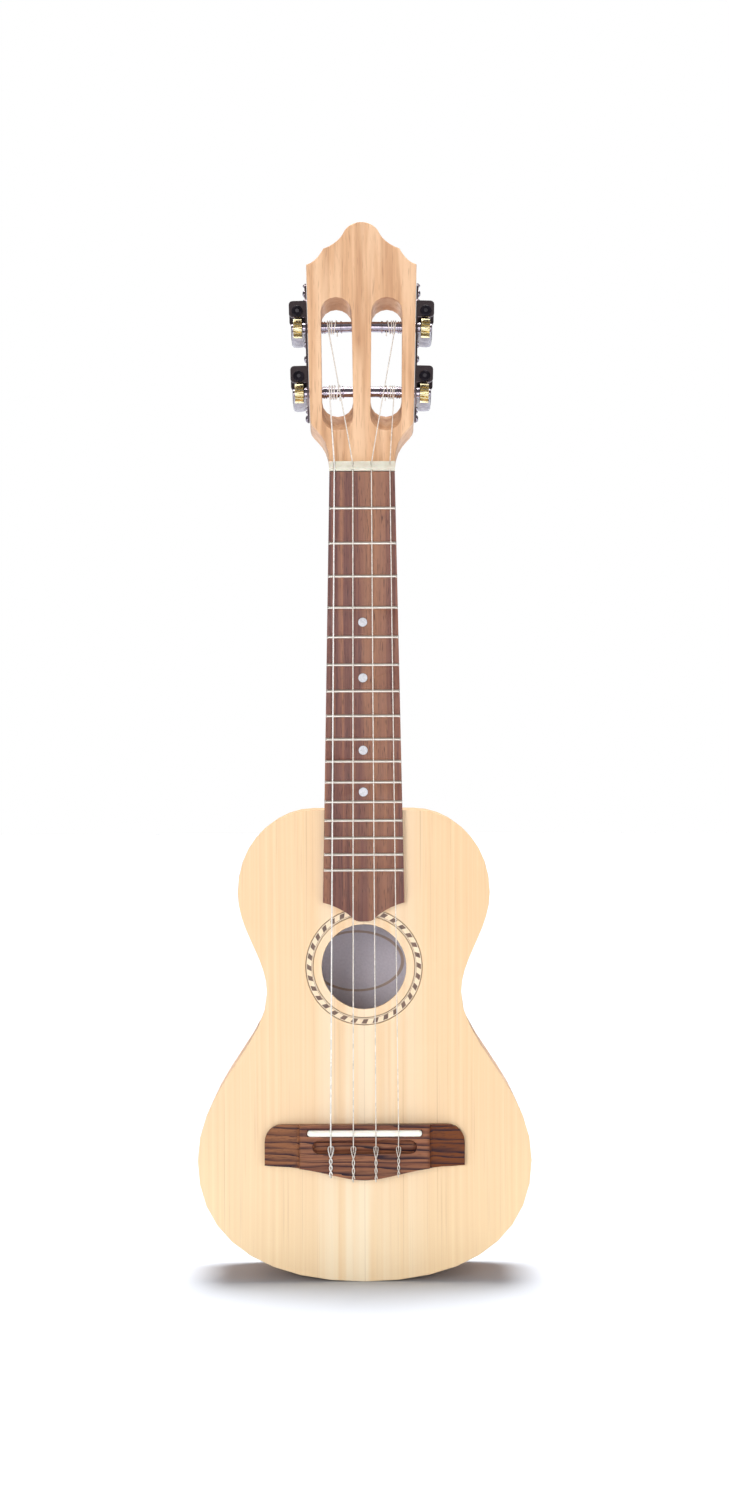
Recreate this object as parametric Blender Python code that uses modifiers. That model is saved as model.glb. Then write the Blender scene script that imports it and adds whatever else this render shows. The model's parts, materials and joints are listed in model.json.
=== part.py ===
"""A small four-string folk guitar of soprano size, with a slotted head and four worm tuners.

World frame: Z up along the strings, X to the viewer's right, the soundboard faces -Y.
The origin is under the middle of the body's lowest point. Lengths are metres.
"""

import math

import bmesh
import bpy
from mathutils import Matrix, Vector
from mathutils.geometry import interpolate_bezier

MM = 0.001

# Fits
SEAT_GAP = 0.3 * MM
INLAY_GAP = 0.2 * MM
RUNNING_GAP = 0.3 * MM
CUT_BEYOND = 1.0 * MM

# Body outline, half widths and heights above the tail
BODY_LENGTH = 246.5 * MM
LOWER_BOUT_HALF = 87.3 * MM
LOWER_BOUT_Z = 63.3 * MM
WAIST_HALF = 50.8 * MM
WAIST_Z = 151.3 * MM
UPPER_BOUT_HALF = 65.9 * MM
UPPER_BOUT_Z = 203.3 * MM
SHOULDER_HALF = 26.8 * MM
TAIL_ROUND = 56.1 * MM
LOWER_ROUND_BELOW = 39.2 * MM
LOWER_ROUND_ABOVE = 38.5 * MM
WAIST_ROUND_BELOW = 27.9 * MM
WAIST_ROUND_ABOVE = 17.7 * MM
UPPER_ROUND_BELOW = 19.5 * MM
UPPER_ROUND_ABOVE = 26.6 * MM
SHOULDER_ROUND = 20.1 * MM
OUTLINE_STEPS = 9
CORNER_STEPS = 6

# Body shell
TAIL_DEPTH = 62.0 * MM
NECK_END_DEPTH = 56.0 * MM
SOUNDBOARD_THICKNESS = 2.0 * MM
BACK_THICKNESS = 2.0 * MM
RIB_THICKNESS = 1.8 * MM
LINING_WIDTH = 4.2 * MM
LINING_HEIGHT = 6.0 * MM

# Blocks and braces inside the body
NECK_BLOCK_HALF = 26.0 * MM
NECK_BLOCK_LENGTH = 20.0 * MM
TAIL_BLOCK_HALF = 28.0 * MM
TAIL_BLOCK_LENGTH = 13.0 * MM
BRACE_WIDTH = 6.0 * MM
BRACE_HEIGHT = 8.0 * MM
BRACE_END_HEIGHT = 2.5 * MM
BRACE_SCALLOP = 16.0 * MM
BACK_BRACE_HEIGHT = 9.0 * MM
UPPER_BRACE_ABOVE_HOLE = 32.0 * MM
LOWER_BRACE_BELOW_HOLE = 32.0 * MM
UPPER_BACK_BRACE_Z = 197.0 * MM
LOWER_BACK_BRACE_Z = 84.0 * MM
BRIDGE_PLATE_HALF = 46.0 * MM
BRIDGE_PLATE_LENGTH = 26.0 * MM
BRIDGE_PLATE_THICKNESS = 2.0 * MM

# Soundhole and rosette
SOUNDHOLE_Z = 164.6 * MM
SOUNDHOLE_RADIUS = 22.15 * MM
ROSETTE_INNER = 26.7 * MM
ROSETTE_OUTER = 30.4 * MM
ROSETTE_DEPTH = 0.9 * MM
ROUND_STEPS = 40

# Scale and strings
SCALE_LENGTH = 344.8 * MM
SADDLE_Z = 78.4 * MM
SADDLE_SPACING = 11.75 * MM
NUT_SPACING = 9.65 * MM
STRING_DIAMETERS = {1: 0.60 * MM, 2: 0.66 * MM, 3: 0.74 * MM, 4: 0.90 * MM}
STRING_SIDES = 6
STRING_OVER_NUT = 5.9 * MM
STRING_DROP_AT_NUT = 0.55 * MM

# Nut
NUT_THICKNESS = 5.0 * MM
NUT_HEIGHT = 6.9 * MM
NUT_BACK_HEIGHT = 6.0 * MM
NUT_OVERHANG = 0.15 * MM
NUT_EDGE_DROP = 0.5 * MM
NUT_EDGE_RUN = 0.7 * MM
NUT_FLAT_END = 1.6 * MM
NOTCH_CLEAR = 0.35 * MM

# Fingerboard
BOARD_WIDTH_AT_NUT = 34.1 * MM
BOARD_WIDTH_AT_END = 42.5 * MM
BOARD_SIDE_END_Z = 198.3 * MM
BOARD_TIP_Z = 188.4 * MM
BOARD_NOSE_HALF = 6.4 * MM
BOARD_NOSE_RISE = 2.4 * MM
BOARD_NOSE_STEPS = 4
BOARD_FLANK_STEPS = 5
BOARD_THICKNESS = 4.2 * MM
DOT_DIAMETER = 4.7 * MM
DOT_DEPTH = 1.2 * MM
DOT_FRETS = (5, 7, 10, 12)
DOT_STEPS = 18

# Frets
FRET_COUNT = 16
FRET_CROWN_WIDTH = 1.6 * MM
FRET_CROWN_HEIGHT = 0.8 * MM
FRET_TANG_WIDTH = 0.5 * MM
FRET_TANG_DEPTH = 1.6 * MM
FRET_END_BEVEL = 0.7 * MM
FRET_INSET = 0.2 * MM
FRET_END_CROWN = 0.12

# Bridge and saddle
BRIDGE_HALF = 52.2 * MM
BRIDGE_ABOVE_SADDLE = 4.2 * MM
BRIDGE_CORNER_RADIUS = 9.2 * MM
BRIDGE_WING_LENGTH = 21.8 * MM
BRIDGE_WING_RISE = 0.4 * MM
BRIDGE_BELLY_LENGTH = 28.7 * MM
BRIDGE_BELLY_HALF = 46.0 * MM
BRIDGE_HEIGHT = 7.2 * MM
BRIDGE_BELLY_PULLS = (0.27, 0.57)
BRIDGE_BLOCK_HALF = 33.7 * MM
WING_INNER_HEIGHT = 5.0 * MM
WING_DIP_HEIGHT = 4.4 * MM
WING_DIP_RUN = 4.0 * MM
WING_TIP_HEIGHT = 3.0 * MM
CHANNEL_HALF = 27.4 * MM
CHANNEL_WIDTH = 7.2 * MM
CHANNEL_DEPTH = 4.6 * MM
CHANNEL_BELOW_SADDLE = 7.15 * MM
CHANNEL_SECTION = ((0.25, 0.0), (0.65, 0.13), (0.9, 0.4), (1.0, 0.72))
SADDLE_LENGTH = 59.6 * MM
SADDLE_THICKNESS = 3.1 * MM
SADDLE_TOP = 9.3 * MM
SADDLE_SEAT = 4.2 * MM
SADDLE_SHOULDER = 0.9 * MM
SADDLE_CROWN = 0.25 * MM
SADDLE_EDGE_ROUND = 0.5 * MM
TIE_HOLE_RADIUS = 0.9 * MM
TIE_HOLE_HEIGHT = 4.3 * MM
TIE_HOLE_BEYOND = 4.0 * MM

# Neck
NECK_DEPTH_AT_NUT = 13.5 * MM
NECK_DEPTH_AT_HEEL = 16.5 * MM
HEEL_LENGTH = 34.0 * MM
HEEL_STATIONS = (1.0, 0.97, 0.9, 0.8, 0.65, 0.45, 0.22)
HEEL_SQUARENESS = 2.5
SHAFT_SQUARENESS = 2.0
HEEL_SHORT_OF_BACK = 2.5 * MM
VOLUTE_LENGTH = 16.0 * MM
VOLUTE_STATIONS = ((0.35, 2.4), (0.7, 3.2), (1.0, 4.0))
VOLUTE_BELOW_JOINT = 2.0 * MM
JOINT_SQUARENESS = 5.0
TENON_HALF = 8.0 * MM
TENON_LENGTH = 12.0 * MM
TENON_DEPTH = 40.0 * MM
TENON_BEHIND_FACE = 2.0 * MM
TENON_ROOT = 2.0 * MM
NECK_SECTION_STEPS = 12

# Head
HEAD_TILT = math.radians(14.0)
HEAD_THICKNESS = 18.0 * MM
HEAD_HALF_AT_NUT = 17.2 * MM
HEAD_LOWER_CORNER = (27.2 * MM, 23.7 * MM)
HEAD_UPPER_CORNER = (29.4 * MM, 111.4 * MM)
HEAD_CUSP = (20.3 * MM, 120.6 * MM)
HEAD_DOME = (10.0 * MM, 128.8 * MM)
HEAD_TIP = 135.9 * MM
HEAD_FLARE_PULLS = (0.70, 0.76)
HEAD_SHOULDER_PULLS = ((0.48, 0.12), (0.21, 0.41))
HEAD_CREST_PULLS = ((0.42, 0.17), (0.15, 0.39))
HEAD_FLARE_STEPS = 7
HEAD_CREST_STEPS = 5
HEAD_EDGE_ROUND = 0.6 * MM
SLOT_FRONT_START = 17.4 * MM
SLOT_BACK_START = 32.0 * MM
SLOT_END = 92.7 * MM
SLOT_WIDTH = 16.4 * MM
SLOT_CENTRE_LOW = 12.55 * MM
SLOT_CENTRE_HIGH = 13.55 * MM
SLOT_ROUND_STEPS = 8
SLOT_CUT_BEYOND = 2.0 * MM
BORE_BEYOND = 5.0 * MM

# Tuners
LOWER_POST = 41.8 * MM
UPPER_POST = 78.6 * MM
POST_DEPTH = 8.7 * MM
ROLLER_RADIUS = 2.8 * MM
ROLLER_NECK_RADIUS = 1.8 * MM
ROLLER_INNER_END = 1.7 * MM
ROLLER_STEPS = 14
PLATE_THICKNESS = 1.0 * MM
PLATE_WIDTH = 11.0 * MM
PLATE_WAIST = 8.0 * MM
PLATE_BELOW_POST = 16.5 * MM
PLATE_ABOVE_POST = 25.0 * MM
PLATE_FULL_REACH = 6.0 * MM
PLATE_STEP = 2.0 * MM
PLATE_HOLE_REACH = 3.0 * MM
EAR_REACH = 9.5 * MM
EAR_THICKNESS = 1.2 * MM
EAR_BELOW_WORM = 3.2 * MM
EAR_ABOVE_WORM = 6.0 * MM
EAR_ROUND = 2.0 * MM
EAR_ROUND_STEPS = 3
WORM_OFFSET = 5.4 * MM
WORM_CORE_RADIUS = 1.7 * MM
WORM_TIP_RADIUS = 2.9 * MM
WORM_TURNS = 2.8
WORM_STEPS = 10
WORM_LENGTH = 10.3 * MM
THREAD_ROOT_SINK = 0.25 * MM
THREAD_FLANK = 0.13
JOURNAL_STEP = 1.0 * MM
JOURNAL_RADIUS = 1.5 * MM
COLLAR_RADIUS = 2.8 * MM
COLLAR_THICKNESS = 1.0 * MM
REAR_COLLAR_RADIUS = 2.3 * MM
GEAR_TEETH = 14
WORM_PITCH = 2.1 * MM
GEAR_ADDENDUM = 0.47 * MM
GEAR_DEDENDUM = 0.73 * MM
GEAR_WIDTH = 4.6 * MM
TOOTH_SHARE = 0.38
TOOTH_ROOT_FLARE = 0.09
TOOTH_TIP_TAPER = 0.07
THREAD_SHARE = 0.38
BUTTON_START = 9.0 * MM
BUTTON_LENGTH = 17.0 * MM
BUTTON_WIDTH = 18.0 * MM
BUTTON_THICKNESS = 8.6 * MM
BUTTON_THROAT = 0.62
BUTTON_ROUND = 2.4 * MM
BUTTON_BORE_DEPTH = 9.0 * MM
BUTTON_CUT_BEYOND = 2.0 * MM

# String windings and ties
LOWER_LEAVE = 17.2 * MM
UPPER_LEAVE = 18.2 * MM
WINDING_TURNS = 3
WINDING_STEPS = 24
WINDING_GAP = 0.46 * MM
TAIL_SHIFT = 1.55 * MM
TAIL_SHIFT_TURNS = 0.5
TAIL_STUB = 2.6 * MM
STRING_HOLE_CLEAR = 0.5 * MM
STRING_HOLE_TURN = 0.25
TWIST_TURNS = 1.5
TWIST_STEPS = 8
TWIST_GAP = 0.5 * MM
TIE_CLEAR = 0.4 * MM
TIE_REAR_DROP = 1.2 * MM
TIE_LOOP_ABOVE_WALL = 2.9 * MM
TIE_LOOP_STEPS = 6
SADDLE_BREAK_RUN = 1.2 * MM

# Places that follow from the sizes
NUT_FRONT_Z = SADDLE_Z + SCALE_LENGTH
NUT_BACK_Z = NUT_FRONT_Z + NUT_THICKNESS
FRONT_REACH = SADDLE_TOP + SEAT_GAP + max(STRING_DIAMETERS.values())
FACE_Y = (FRONT_REACH - TAIL_DEPTH) / 2
BOARD_TOP = SEAT_GAP + BOARD_THICKNESS
GEAR_PITCH_RADIUS = GEAR_TEETH * WORM_PITCH / (2 * math.pi)
WORM_PITCH_RADIUS = 2.42 * MM
WORM_RISE = GEAR_PITCH_RADIUS + WORM_PITCH_RADIUS
HEAD_TAPER = math.atan2(
    HEAD_UPPER_CORNER[0] - HEAD_LOWER_CORNER[0], HEAD_UPPER_CORNER[1] - HEAD_LOWER_CORNER[1]
)
TUNERS = {1: (1, LOWER_POST), 2: (1, UPPER_POST), 3: (-1, UPPER_POST), 4: (-1, LOWER_POST)}

# Colours: red, green, blue, roughness, metallic
SPRUCE = (0.88, 0.68, 0.42, 0.45, 0.0)
TAN_WOOD = (0.74, 0.47, 0.26, 0.42, 0.0)
ROSEWOOD = (0.17, 0.07, 0.045, 0.5, 0.0)
DARK_ROSEWOOD = (0.13, 0.06, 0.04, 0.45, 0.0)
CREAM_INLAY = (0.80, 0.66, 0.45, 0.4, 0.0)
BONE = (0.90, 0.87, 0.78, 0.35, 0.0)
NICKEL = (0.75, 0.75, 0.76, 0.22, 1.0)
DARK_STEEL = (0.24, 0.24, 0.26, 0.3, 1.0)
BRASS = (0.78, 0.57, 0.25, 0.3, 1.0)
PEARL = (0.72, 0.70, 0.76, 0.25, 0.0)
NYLON = (0.90, 0.90, 0.88, 0.25, 0.0)


def fresh_scene():
    """Empties the file and makes the collections for the parts and the cutters."""
    for old in list(bpy.data.objects):
        bpy.data.objects.remove(old)
    groups = {}
    for name in ("folk_guitar", "cutters"):
        groups[name] = bpy.data.collections.new(name)
        bpy.context.scene.collection.children.link(groups[name])
    return groups


GROUPS = fresh_scene()


def finish_with(thing, finish):
    """Gives an object its own material."""
    red, green, blue, roughness, metallic = finish
    material = bpy.data.materials.new(thing.name)
    material.use_nodes = True
    shader = material.node_tree.nodes["Principled BSDF"]
    shader.inputs["Base Color"].default_value = (red, green, blue, 1.0)
    shader.inputs["Roughness"].default_value = roughness
    shader.inputs["Metallic"].default_value = metallic
    thing.data.materials.append(material)


def add_part(name, data, finish, parent=None):
    """Puts a named piece of the instrument in its collection."""
    thing = bpy.data.objects.new(name, data)
    GROUPS["folk_guitar"].objects.link(thing)
    thing.parent = parent
    finish_with(thing, finish)
    return thing


def add_cutter(name, data, parent=None):
    """Puts a shape that only cuts or joins other pieces in the cutters' collection."""
    thing = bpy.data.objects.new(name, data)
    GROUPS["cutters"].objects.link(thing)
    thing.parent = parent
    thing.hide_render = True
    thing.display_type = "WIRE"
    return thing


def combine(thing, other, operation="DIFFERENCE"):
    """Cuts one object by another, or joins it to another."""
    step = thing.modifiers.new(other.name, "BOOLEAN")
    step.operation = operation
    step.object = other


def shade(mesh, degrees=35.0):
    """Smooths a mesh's shading except across its sharp edges."""
    mesh.shade_smooth()
    mesh.set_sharp_from_angle(angle=math.radians(degrees))


def soften(thing, width, segments=1, degrees=50.0):
    """Rounds the sharp edges of a piece."""
    step = thing.modifiers.new("soften", "BEVEL")
    step.width = width
    step.segments = segments
    step.limit_method = "ANGLE"
    step.angle_limit = math.radians(degrees)


def mesh_from(name, shape):
    """Turns a bmesh into mesh data with its faces pointing out."""
    bmesh.ops.recalc_face_normals(shape, faces=shape.faces)
    mesh = bpy.data.meshes.new(name)
    shape.to_mesh(mesh)
    shape.free()
    return mesh


def loft(name, rings):
    """Skins a row of rings that have the same number of points, with flat ends."""
    shape = bmesh.new()
    rows = [[shape.verts.new(point) for point in ring] for ring in rings]
    for low, high in zip(rows, rows[1:]):
        for i in range(len(low)):
            j = (i + 1) % len(low)
            shape.faces.new((low[i], low[j], high[j], high[i]))
    shape.faces.new(rows[0])
    shape.faces.new(rows[-1])
    return mesh_from(name, shape)


def plate(name, loops, front, back):
    """Fills flat loops of (x, z) points, the later ones being holes, between two depths."""
    curve = bpy.data.curves.new(name, "CURVE")
    curve.dimensions = "2D"
    curve.fill_mode = "BOTH"
    curve.extrude = (back - front) / 2
    for loop in loops:
        spline = curve.splines.new("POLY")
        spline.points.add(len(loop) - 1)
        spline.use_cyclic_u = True
        for point, (x, z) in zip(spline.points, loop):
            point.co = (x, z, 0.0, 1.0)
    guide = bpy.data.objects.new(name, curve)
    GROUPS["cutters"].objects.link(guide)
    graph = bpy.context.evaluated_depsgraph_get()
    mesh = bpy.data.meshes.new_from_object(guide.evaluated_get(graph))
    bpy.data.objects.remove(guide)
    upright = Matrix.Translation((0.0, (front + back) / 2, 0.0)) @ Matrix.Rotation(math.pi / 2, 4, "X")
    shape = bmesh.new()
    shape.from_mesh(mesh)
    bmesh.ops.remove_doubles(shape, verts=shape.verts, dist=1e-6)
    bmesh.ops.transform(shape, matrix=upright, verts=shape.verts)
    return mesh_from(name, shape)


def block(name, low, high):
    """A box between two corners."""
    shape = bmesh.new()
    size = [b - a for a, b in zip(low, high)]
    centre = [(a + b) / 2 for a, b in zip(low, high)]
    place = Matrix.Translation(centre) @ Matrix.Diagonal((*size, 1.0))
    bmesh.ops.create_cube(shape, size=1.0, matrix=place)
    return mesh_from(name, shape)


def rods(name, lines, steps=12):
    """Straight round bars, each from a start to an end with a radius."""
    shape = bmesh.new()
    for start, end, radius in lines:
        along = Vector(end) - Vector(start)
        turn = Vector((0, 0, 1)).rotation_difference(along).to_matrix().to_4x4()
        place = Matrix.Translation((Vector(start) + Vector(end)) / 2) @ turn
        bmesh.ops.create_cone(
            shape, cap_ends=True, segments=steps, radius1=radius, radius2=radius,
            depth=along.length, matrix=place,
        )
    return mesh_from(name, shape)


def turned(thing, steps):
    """Turns the profile of an object about its own Z axis."""
    step = thing.modifiers.new("turn", "SCREW")
    step.steps = steps
    step.render_steps = steps
    step.use_merge_vertices = True
    step.merge_threshold = 1e-6


def profile(name, points, closed=False):
    """A line of (radius, height) points that runs down the outer side of a turned shape."""
    mesh = bpy.data.meshes.new(name)
    count = len(points)
    edges = [(i, i + 1) for i in range(count - 1)]
    if closed:
        edges.append((count - 1, 0))
    mesh.from_pydata([(r, 0.0, z) for r, z in points], edges, [])
    return mesh


def tube(name, points, radius, sides):
    """A wire along points, with closed ends."""
    curve = bpy.data.curves.new(name, "CURVE")
    curve.dimensions = "3D"
    curve.bevel_depth = radius
    curve.bevel_resolution = (sides - 4) // 2
    curve.use_fill_caps = True
    spline = curve.splines.new("POLY")
    spline.points.add(len(points) - 1)
    for point, place in zip(spline.points, points):
        point.co = (*place, 1.0)
    return curve


def bezier(points, steps):
    """Points along one Bezier stretch in the plane, without its last point."""
    knots = [Vector((x, z, 0.0)) for x, z in points]
    found = interpolate_bezier(*knots, steps + 1)
    return [(p.x, p.y) for p in found[:-1]]


def mirrored(half):
    """A closed loop from its right half, which starts and ends on the centre line."""
    left = [(-x, z) for x, z in reversed(half) if x > 1e-7]
    return half + left


def circle(radius, centre_z, steps):
    """A round loop on the centre line."""
    turn = 2 * math.pi / steps
    return [(radius * math.sin(i * turn), centre_z + radius * math.cos(i * turn)) for i in range(steps)]


def height(h):
    """World Y of a point that stands h in front of the soundboard's face."""
    return FACE_Y - h


def board_half(z):
    """Half the width of the fingerboard and the neck at a height."""
    share = (NUT_FRONT_Z - z) / (NUT_FRONT_Z - BOARD_SIDE_END_Z)
    return (BOARD_WIDTH_AT_NUT + share * (BOARD_WIDTH_AT_END - BOARD_WIDTH_AT_NUT)) / 2


def string_place(number, spacing):
    """Across position of a string, string 4 being furthest left."""
    return (2.5 - number) * spacing


def fret_z(number):
    """Height of a fret, from the equal-tempered rule."""
    return NUT_FRONT_Z - SCALE_LENGTH * (1 - 2 ** (-number / 12))


def body_half():
    """Right half of the body outline, from the tail's centre to the neck end's centre."""
    stretches = (
        ((0, 0), (TAIL_ROUND, 0), (LOWER_BOUT_HALF, LOWER_BOUT_Z - LOWER_ROUND_BELOW),
         (LOWER_BOUT_HALF, LOWER_BOUT_Z)),
        ((LOWER_BOUT_HALF, LOWER_BOUT_Z), (LOWER_BOUT_HALF, LOWER_BOUT_Z + LOWER_ROUND_ABOVE),
         (WAIST_HALF, WAIST_Z - WAIST_ROUND_BELOW), (WAIST_HALF, WAIST_Z)),
        ((WAIST_HALF, WAIST_Z), (WAIST_HALF, WAIST_Z + WAIST_ROUND_ABOVE),
         (UPPER_BOUT_HALF, UPPER_BOUT_Z - UPPER_ROUND_BELOW), (UPPER_BOUT_HALF, UPPER_BOUT_Z)),
        ((UPPER_BOUT_HALF, UPPER_BOUT_Z), (UPPER_BOUT_HALF, UPPER_BOUT_Z + UPPER_ROUND_ABOVE),
         (SHOULDER_HALF + SHOULDER_ROUND, BODY_LENGTH), (SHOULDER_HALF, BODY_LENGTH)),
    )
    half = []
    for stretch in stretches:
        half += bezier(stretch, OUTLINE_STEPS)
    return half + [(SHOULDER_HALF, BODY_LENGTH), (0.0, BODY_LENGTH)]


def inward(half):
    """The inward direction at each point of the half outline."""
    found = []
    for i, (x, z) in enumerate(half):
        before = half[max(i - 1, 0)]
        after = half[min(i + 1, len(half) - 1)]
        along = Vector((after[0] - before[0], after[1] - before[1])).normalized()
        found.append(Vector((-along.y, along.x)))
    found[0] = Vector((0.0, 1.0))
    found[-1] = Vector((0.0, -1.0))
    return found


def inset(distance):
    """The half outline moved inward."""
    half = body_half()
    return [(x + distance * n.x, z + distance * n.y) for (x, z), n in zip(half, inward(half))]


def inner_half(z, distance):
    """Half the free width inside the body at a height, a distance in from the outline."""
    line = inset(distance)
    widths = []
    for (x0, z0), (x1, z1) in zip(line, line[1:]):
        if z0 != z1 and min(z0, z1) <= z <= max(z0, z1):
            widths.append(x0 + (x1 - x0) * (z - z0) / (z1 - z0))
    return min(widths)


def back_face(z):
    """World Y of the back plate's outer face, which draws in towards the neck."""
    return FACE_Y + TAIL_DEPTH + (NECK_END_DEPTH - TAIL_DEPTH) * z / BODY_LENGTH


def inside_front():
    """World Y where pieces inside the body meet the soundboard."""
    return FACE_Y + SOUNDBOARD_THICKNESS + SEAT_GAP


def inside_back(z):
    """World Y where pieces inside the body meet the back plate."""
    return back_face(z) - BACK_THICKNESS - SEAT_GAP


def make_soundboard():
    """The soundboard with its soundhole and the groove of the rosette."""
    loops = [mirrored(body_half()), circle(SOUNDHOLE_RADIUS, SOUNDHOLE_Z, ROUND_STEPS)]
    mesh = plate("soundboard", loops, FACE_Y, FACE_Y + SOUNDBOARD_THICKNESS)
    board = add_part("soundboard", mesh, SPRUCE)
    floor = -ROSETTE_DEPTH - SEAT_GAP
    groove = add_cutter("rosette_groove", ring_profile(
        ROSETTE_INNER - INLAY_GAP, ROSETTE_OUTER + INLAY_GAP, CUT_BEYOND, floor))
    place_ring(groove)
    combine(board, groove)


def ring_profile(inner, outer, top, bottom):
    """The section of a flat ring."""
    return profile("ring", [(outer, top), (outer, bottom), (inner, bottom), (inner, top)], closed=True)


def place_ring(thing):
    """Stands a turned ring round the soundhole, its top facing the viewer."""
    turned(thing, ROUND_STEPS)
    thing.location = (0.0, FACE_Y, SOUNDHOLE_Z)
    thing.rotation_euler = (math.pi / 2, 0.0, 0.0)


def make_rosette():
    """The inlaid ring round the soundhole, flush with the soundboard."""
    place_ring(add_part("rosette", ring_profile(ROSETTE_INNER, ROSETTE_OUTER, 0.0, -ROSETTE_DEPTH), CREAM_INLAY))


def make_back():
    """The back plate, which leans in towards the neck end."""
    loop = mirrored(body_half())
    rings = [[(x, back_face(z) - depth, z) for x, z in loop] for depth in (BACK_THICKNESS, 0.0)]
    add_part("back_plate", loft("back_plate", rings), TAN_WOOD)


def rib_section(point, normal):
    """A rib's section with its two linings at one place on the outline."""
    lining = RIB_THICKNESS + LINING_WIDTH
    steps = (
        (0.0, 0.0, 0), (lining, 0.0, 0), (lining, LINING_HEIGHT, 0), (RIB_THICKNESS, LINING_HEIGHT, 0),
        (RIB_THICKNESS, LINING_HEIGHT, 1), (lining, LINING_HEIGHT, 1), (lining, 0.0, 1), (0.0, 0.0, 1),
    )
    section = []
    for depth, rise, behind in steps:
        x = point[0] + depth * normal.x
        z = point[1] + depth * normal.y
        y = inside_back(z) - rise if behind else inside_front() + rise
        section.append(Vector((x, y, z)))
    return section


def make_ribs(tenon, neck_block_room, tail_block_room):
    """The two bent sides with their linings, cut for the blocks and the neck's tenon."""
    half = body_half()
    rings = [rib_section(point, normal) for point, normal in zip(half, inward(half))]
    for end in (rings[0], rings[-1]):
        for point in end:
            point.x += SEAT_GAP / 2
    for name, side in (("rib_right", 1), ("rib_left", -1)):
        turned_rings = [[(side * p.x, p.y, p.z) for p in ring] for ring in rings]
        mesh = loft(name, turned_rings)
        shade(mesh)
        rib = add_part(name, mesh, TAN_WOOD)
        for room in (tenon, neck_block_room, tail_block_room):
            combine(rib, room)


def between_plates(name, loop, grow=0.0):
    """A block that fills the body from the soundboard to the back plate over a loop."""
    front = [(x, inside_front() - grow, z) for x, z in loop]
    back = [(x, inside_back(z) + grow, z) for x, z in loop]
    return loft(name, [front, back])


def neck_block_loop(grow=0.0):
    """The neck block seen from the front, against the ribs' inner face."""
    top = BODY_LENGTH - RIB_THICKNESS - SEAT_GAP + grow
    low = top - grow - NECK_BLOCK_LENGTH - grow
    half = NECK_BLOCK_HALF + grow
    return [(half, low), (half, top), (-half, top), (-half, low)]


def tail_block_loop(grow=0.0):
    """The tail block seen from the front, its low side following the ribs."""
    line = inset(RIB_THICKNESS + SEAT_GAP - grow)
    half = TAIL_BLOCK_HALF + grow
    low = []
    for (x0, z0), (x1, z1) in zip(line, line[1:]):
        low.append((x0, z0))
        if x1 > half:
            low.append((half, z0 + (z1 - z0) * (half - x0) / (x1 - x0)))
            break
    top = RIB_THICKNESS + SEAT_GAP + TAIL_BLOCK_LENGTH + grow
    return mirrored(low + [(half, top), (0.0, top)])


def tenon_box(grow=0.0):
    """The neck's tenon, which goes through the ribs into the neck block."""
    front = inside_front() + TENON_BEHIND_FACE
    low = (-TENON_HALF - grow, front - grow, BODY_LENGTH - RIB_THICKNESS - TENON_LENGTH - grow)
    high = (TENON_HALF + grow, front + TENON_DEPTH + grow, BODY_LENGTH + SEAT_GAP + TENON_ROOT)
    return block("tenon", low, high)


def make_blocks():
    """The neck block with its mortise, the tail block, and the shapes that the ribs give way to."""
    mortise = add_cutter("tenon_room", tenon_box(SEAT_GAP))
    neck_block = add_part("neck_block", between_plates("neck_block", neck_block_loop()), TAN_WOOD)
    combine(neck_block, mortise)
    add_part("tail_block", between_plates("tail_block", tail_block_loop()), TAN_WOOD)
    neck_room = add_cutter("neck_block_room", between_plates("room", neck_block_loop(SEAT_GAP), CUT_BEYOND))
    tail_room = add_cutter("tail_block_room", between_plates("room", tail_block_loop(SEAT_GAP), CUT_BEYOND))
    return mortise, neck_room, tail_room


def brace_half(z):
    """Half the length of a cross brace, which ends at the linings."""
    distance = RIB_THICKNESS + LINING_WIDTH + SEAT_GAP
    half_width = BRACE_WIDTH / 2
    return min(inner_half(z - half_width, distance), inner_half(z + half_width, distance)) - SEAT_GAP


def make_brace(name, z, tall, seat, away):
    """A cross brace with scalloped ends. Its seat is a function of height."""
    half = brace_half(z)
    line = (
        (-half, 0.0), (-half, BRACE_END_HEIGHT), (BRACE_SCALLOP - half, tall),
        (half - BRACE_SCALLOP, tall), (half, BRACE_END_HEIGHT), (half, 0.0),
    )
    rings = []
    for level in (z - BRACE_WIDTH / 2, z + BRACE_WIDTH / 2):
        rings.append([(x, seat(level) + away * rise, level) for x, rise in line])
    add_part(name, loft(name, rings), SPRUCE)


def make_braces():
    """The cross braces of the soundboard and the back, and the plate under the bridge."""
    front = inside_front()
    make_brace("upper_soundboard_brace", SOUNDHOLE_Z + UPPER_BRACE_ABOVE_HOLE, BRACE_HEIGHT, lambda z: front, 1)
    make_brace("lower_soundboard_brace", SOUNDHOLE_Z - LOWER_BRACE_BELOW_HOLE, BRACE_HEIGHT, lambda z: front, 1)
    make_brace("upper_back_brace", UPPER_BACK_BRACE_Z, BACK_BRACE_HEIGHT, inside_back, -1)
    make_brace("lower_back_brace", LOWER_BACK_BRACE_Z, BACK_BRACE_HEIGHT, inside_back, -1)
    low_z = SADDLE_Z - BRIDGE_PLATE_LENGTH / 2 - BRIDGE_ABOVE_SADDLE
    low = (-BRIDGE_PLATE_HALF, front, low_z)
    high = (BRIDGE_PLATE_HALF, front + BRIDGE_PLATE_THICKNESS, low_z + BRIDGE_PLATE_LENGTH)
    add_part("bridge_plate", block("bridge_plate", low, high), SPRUCE)


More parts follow.
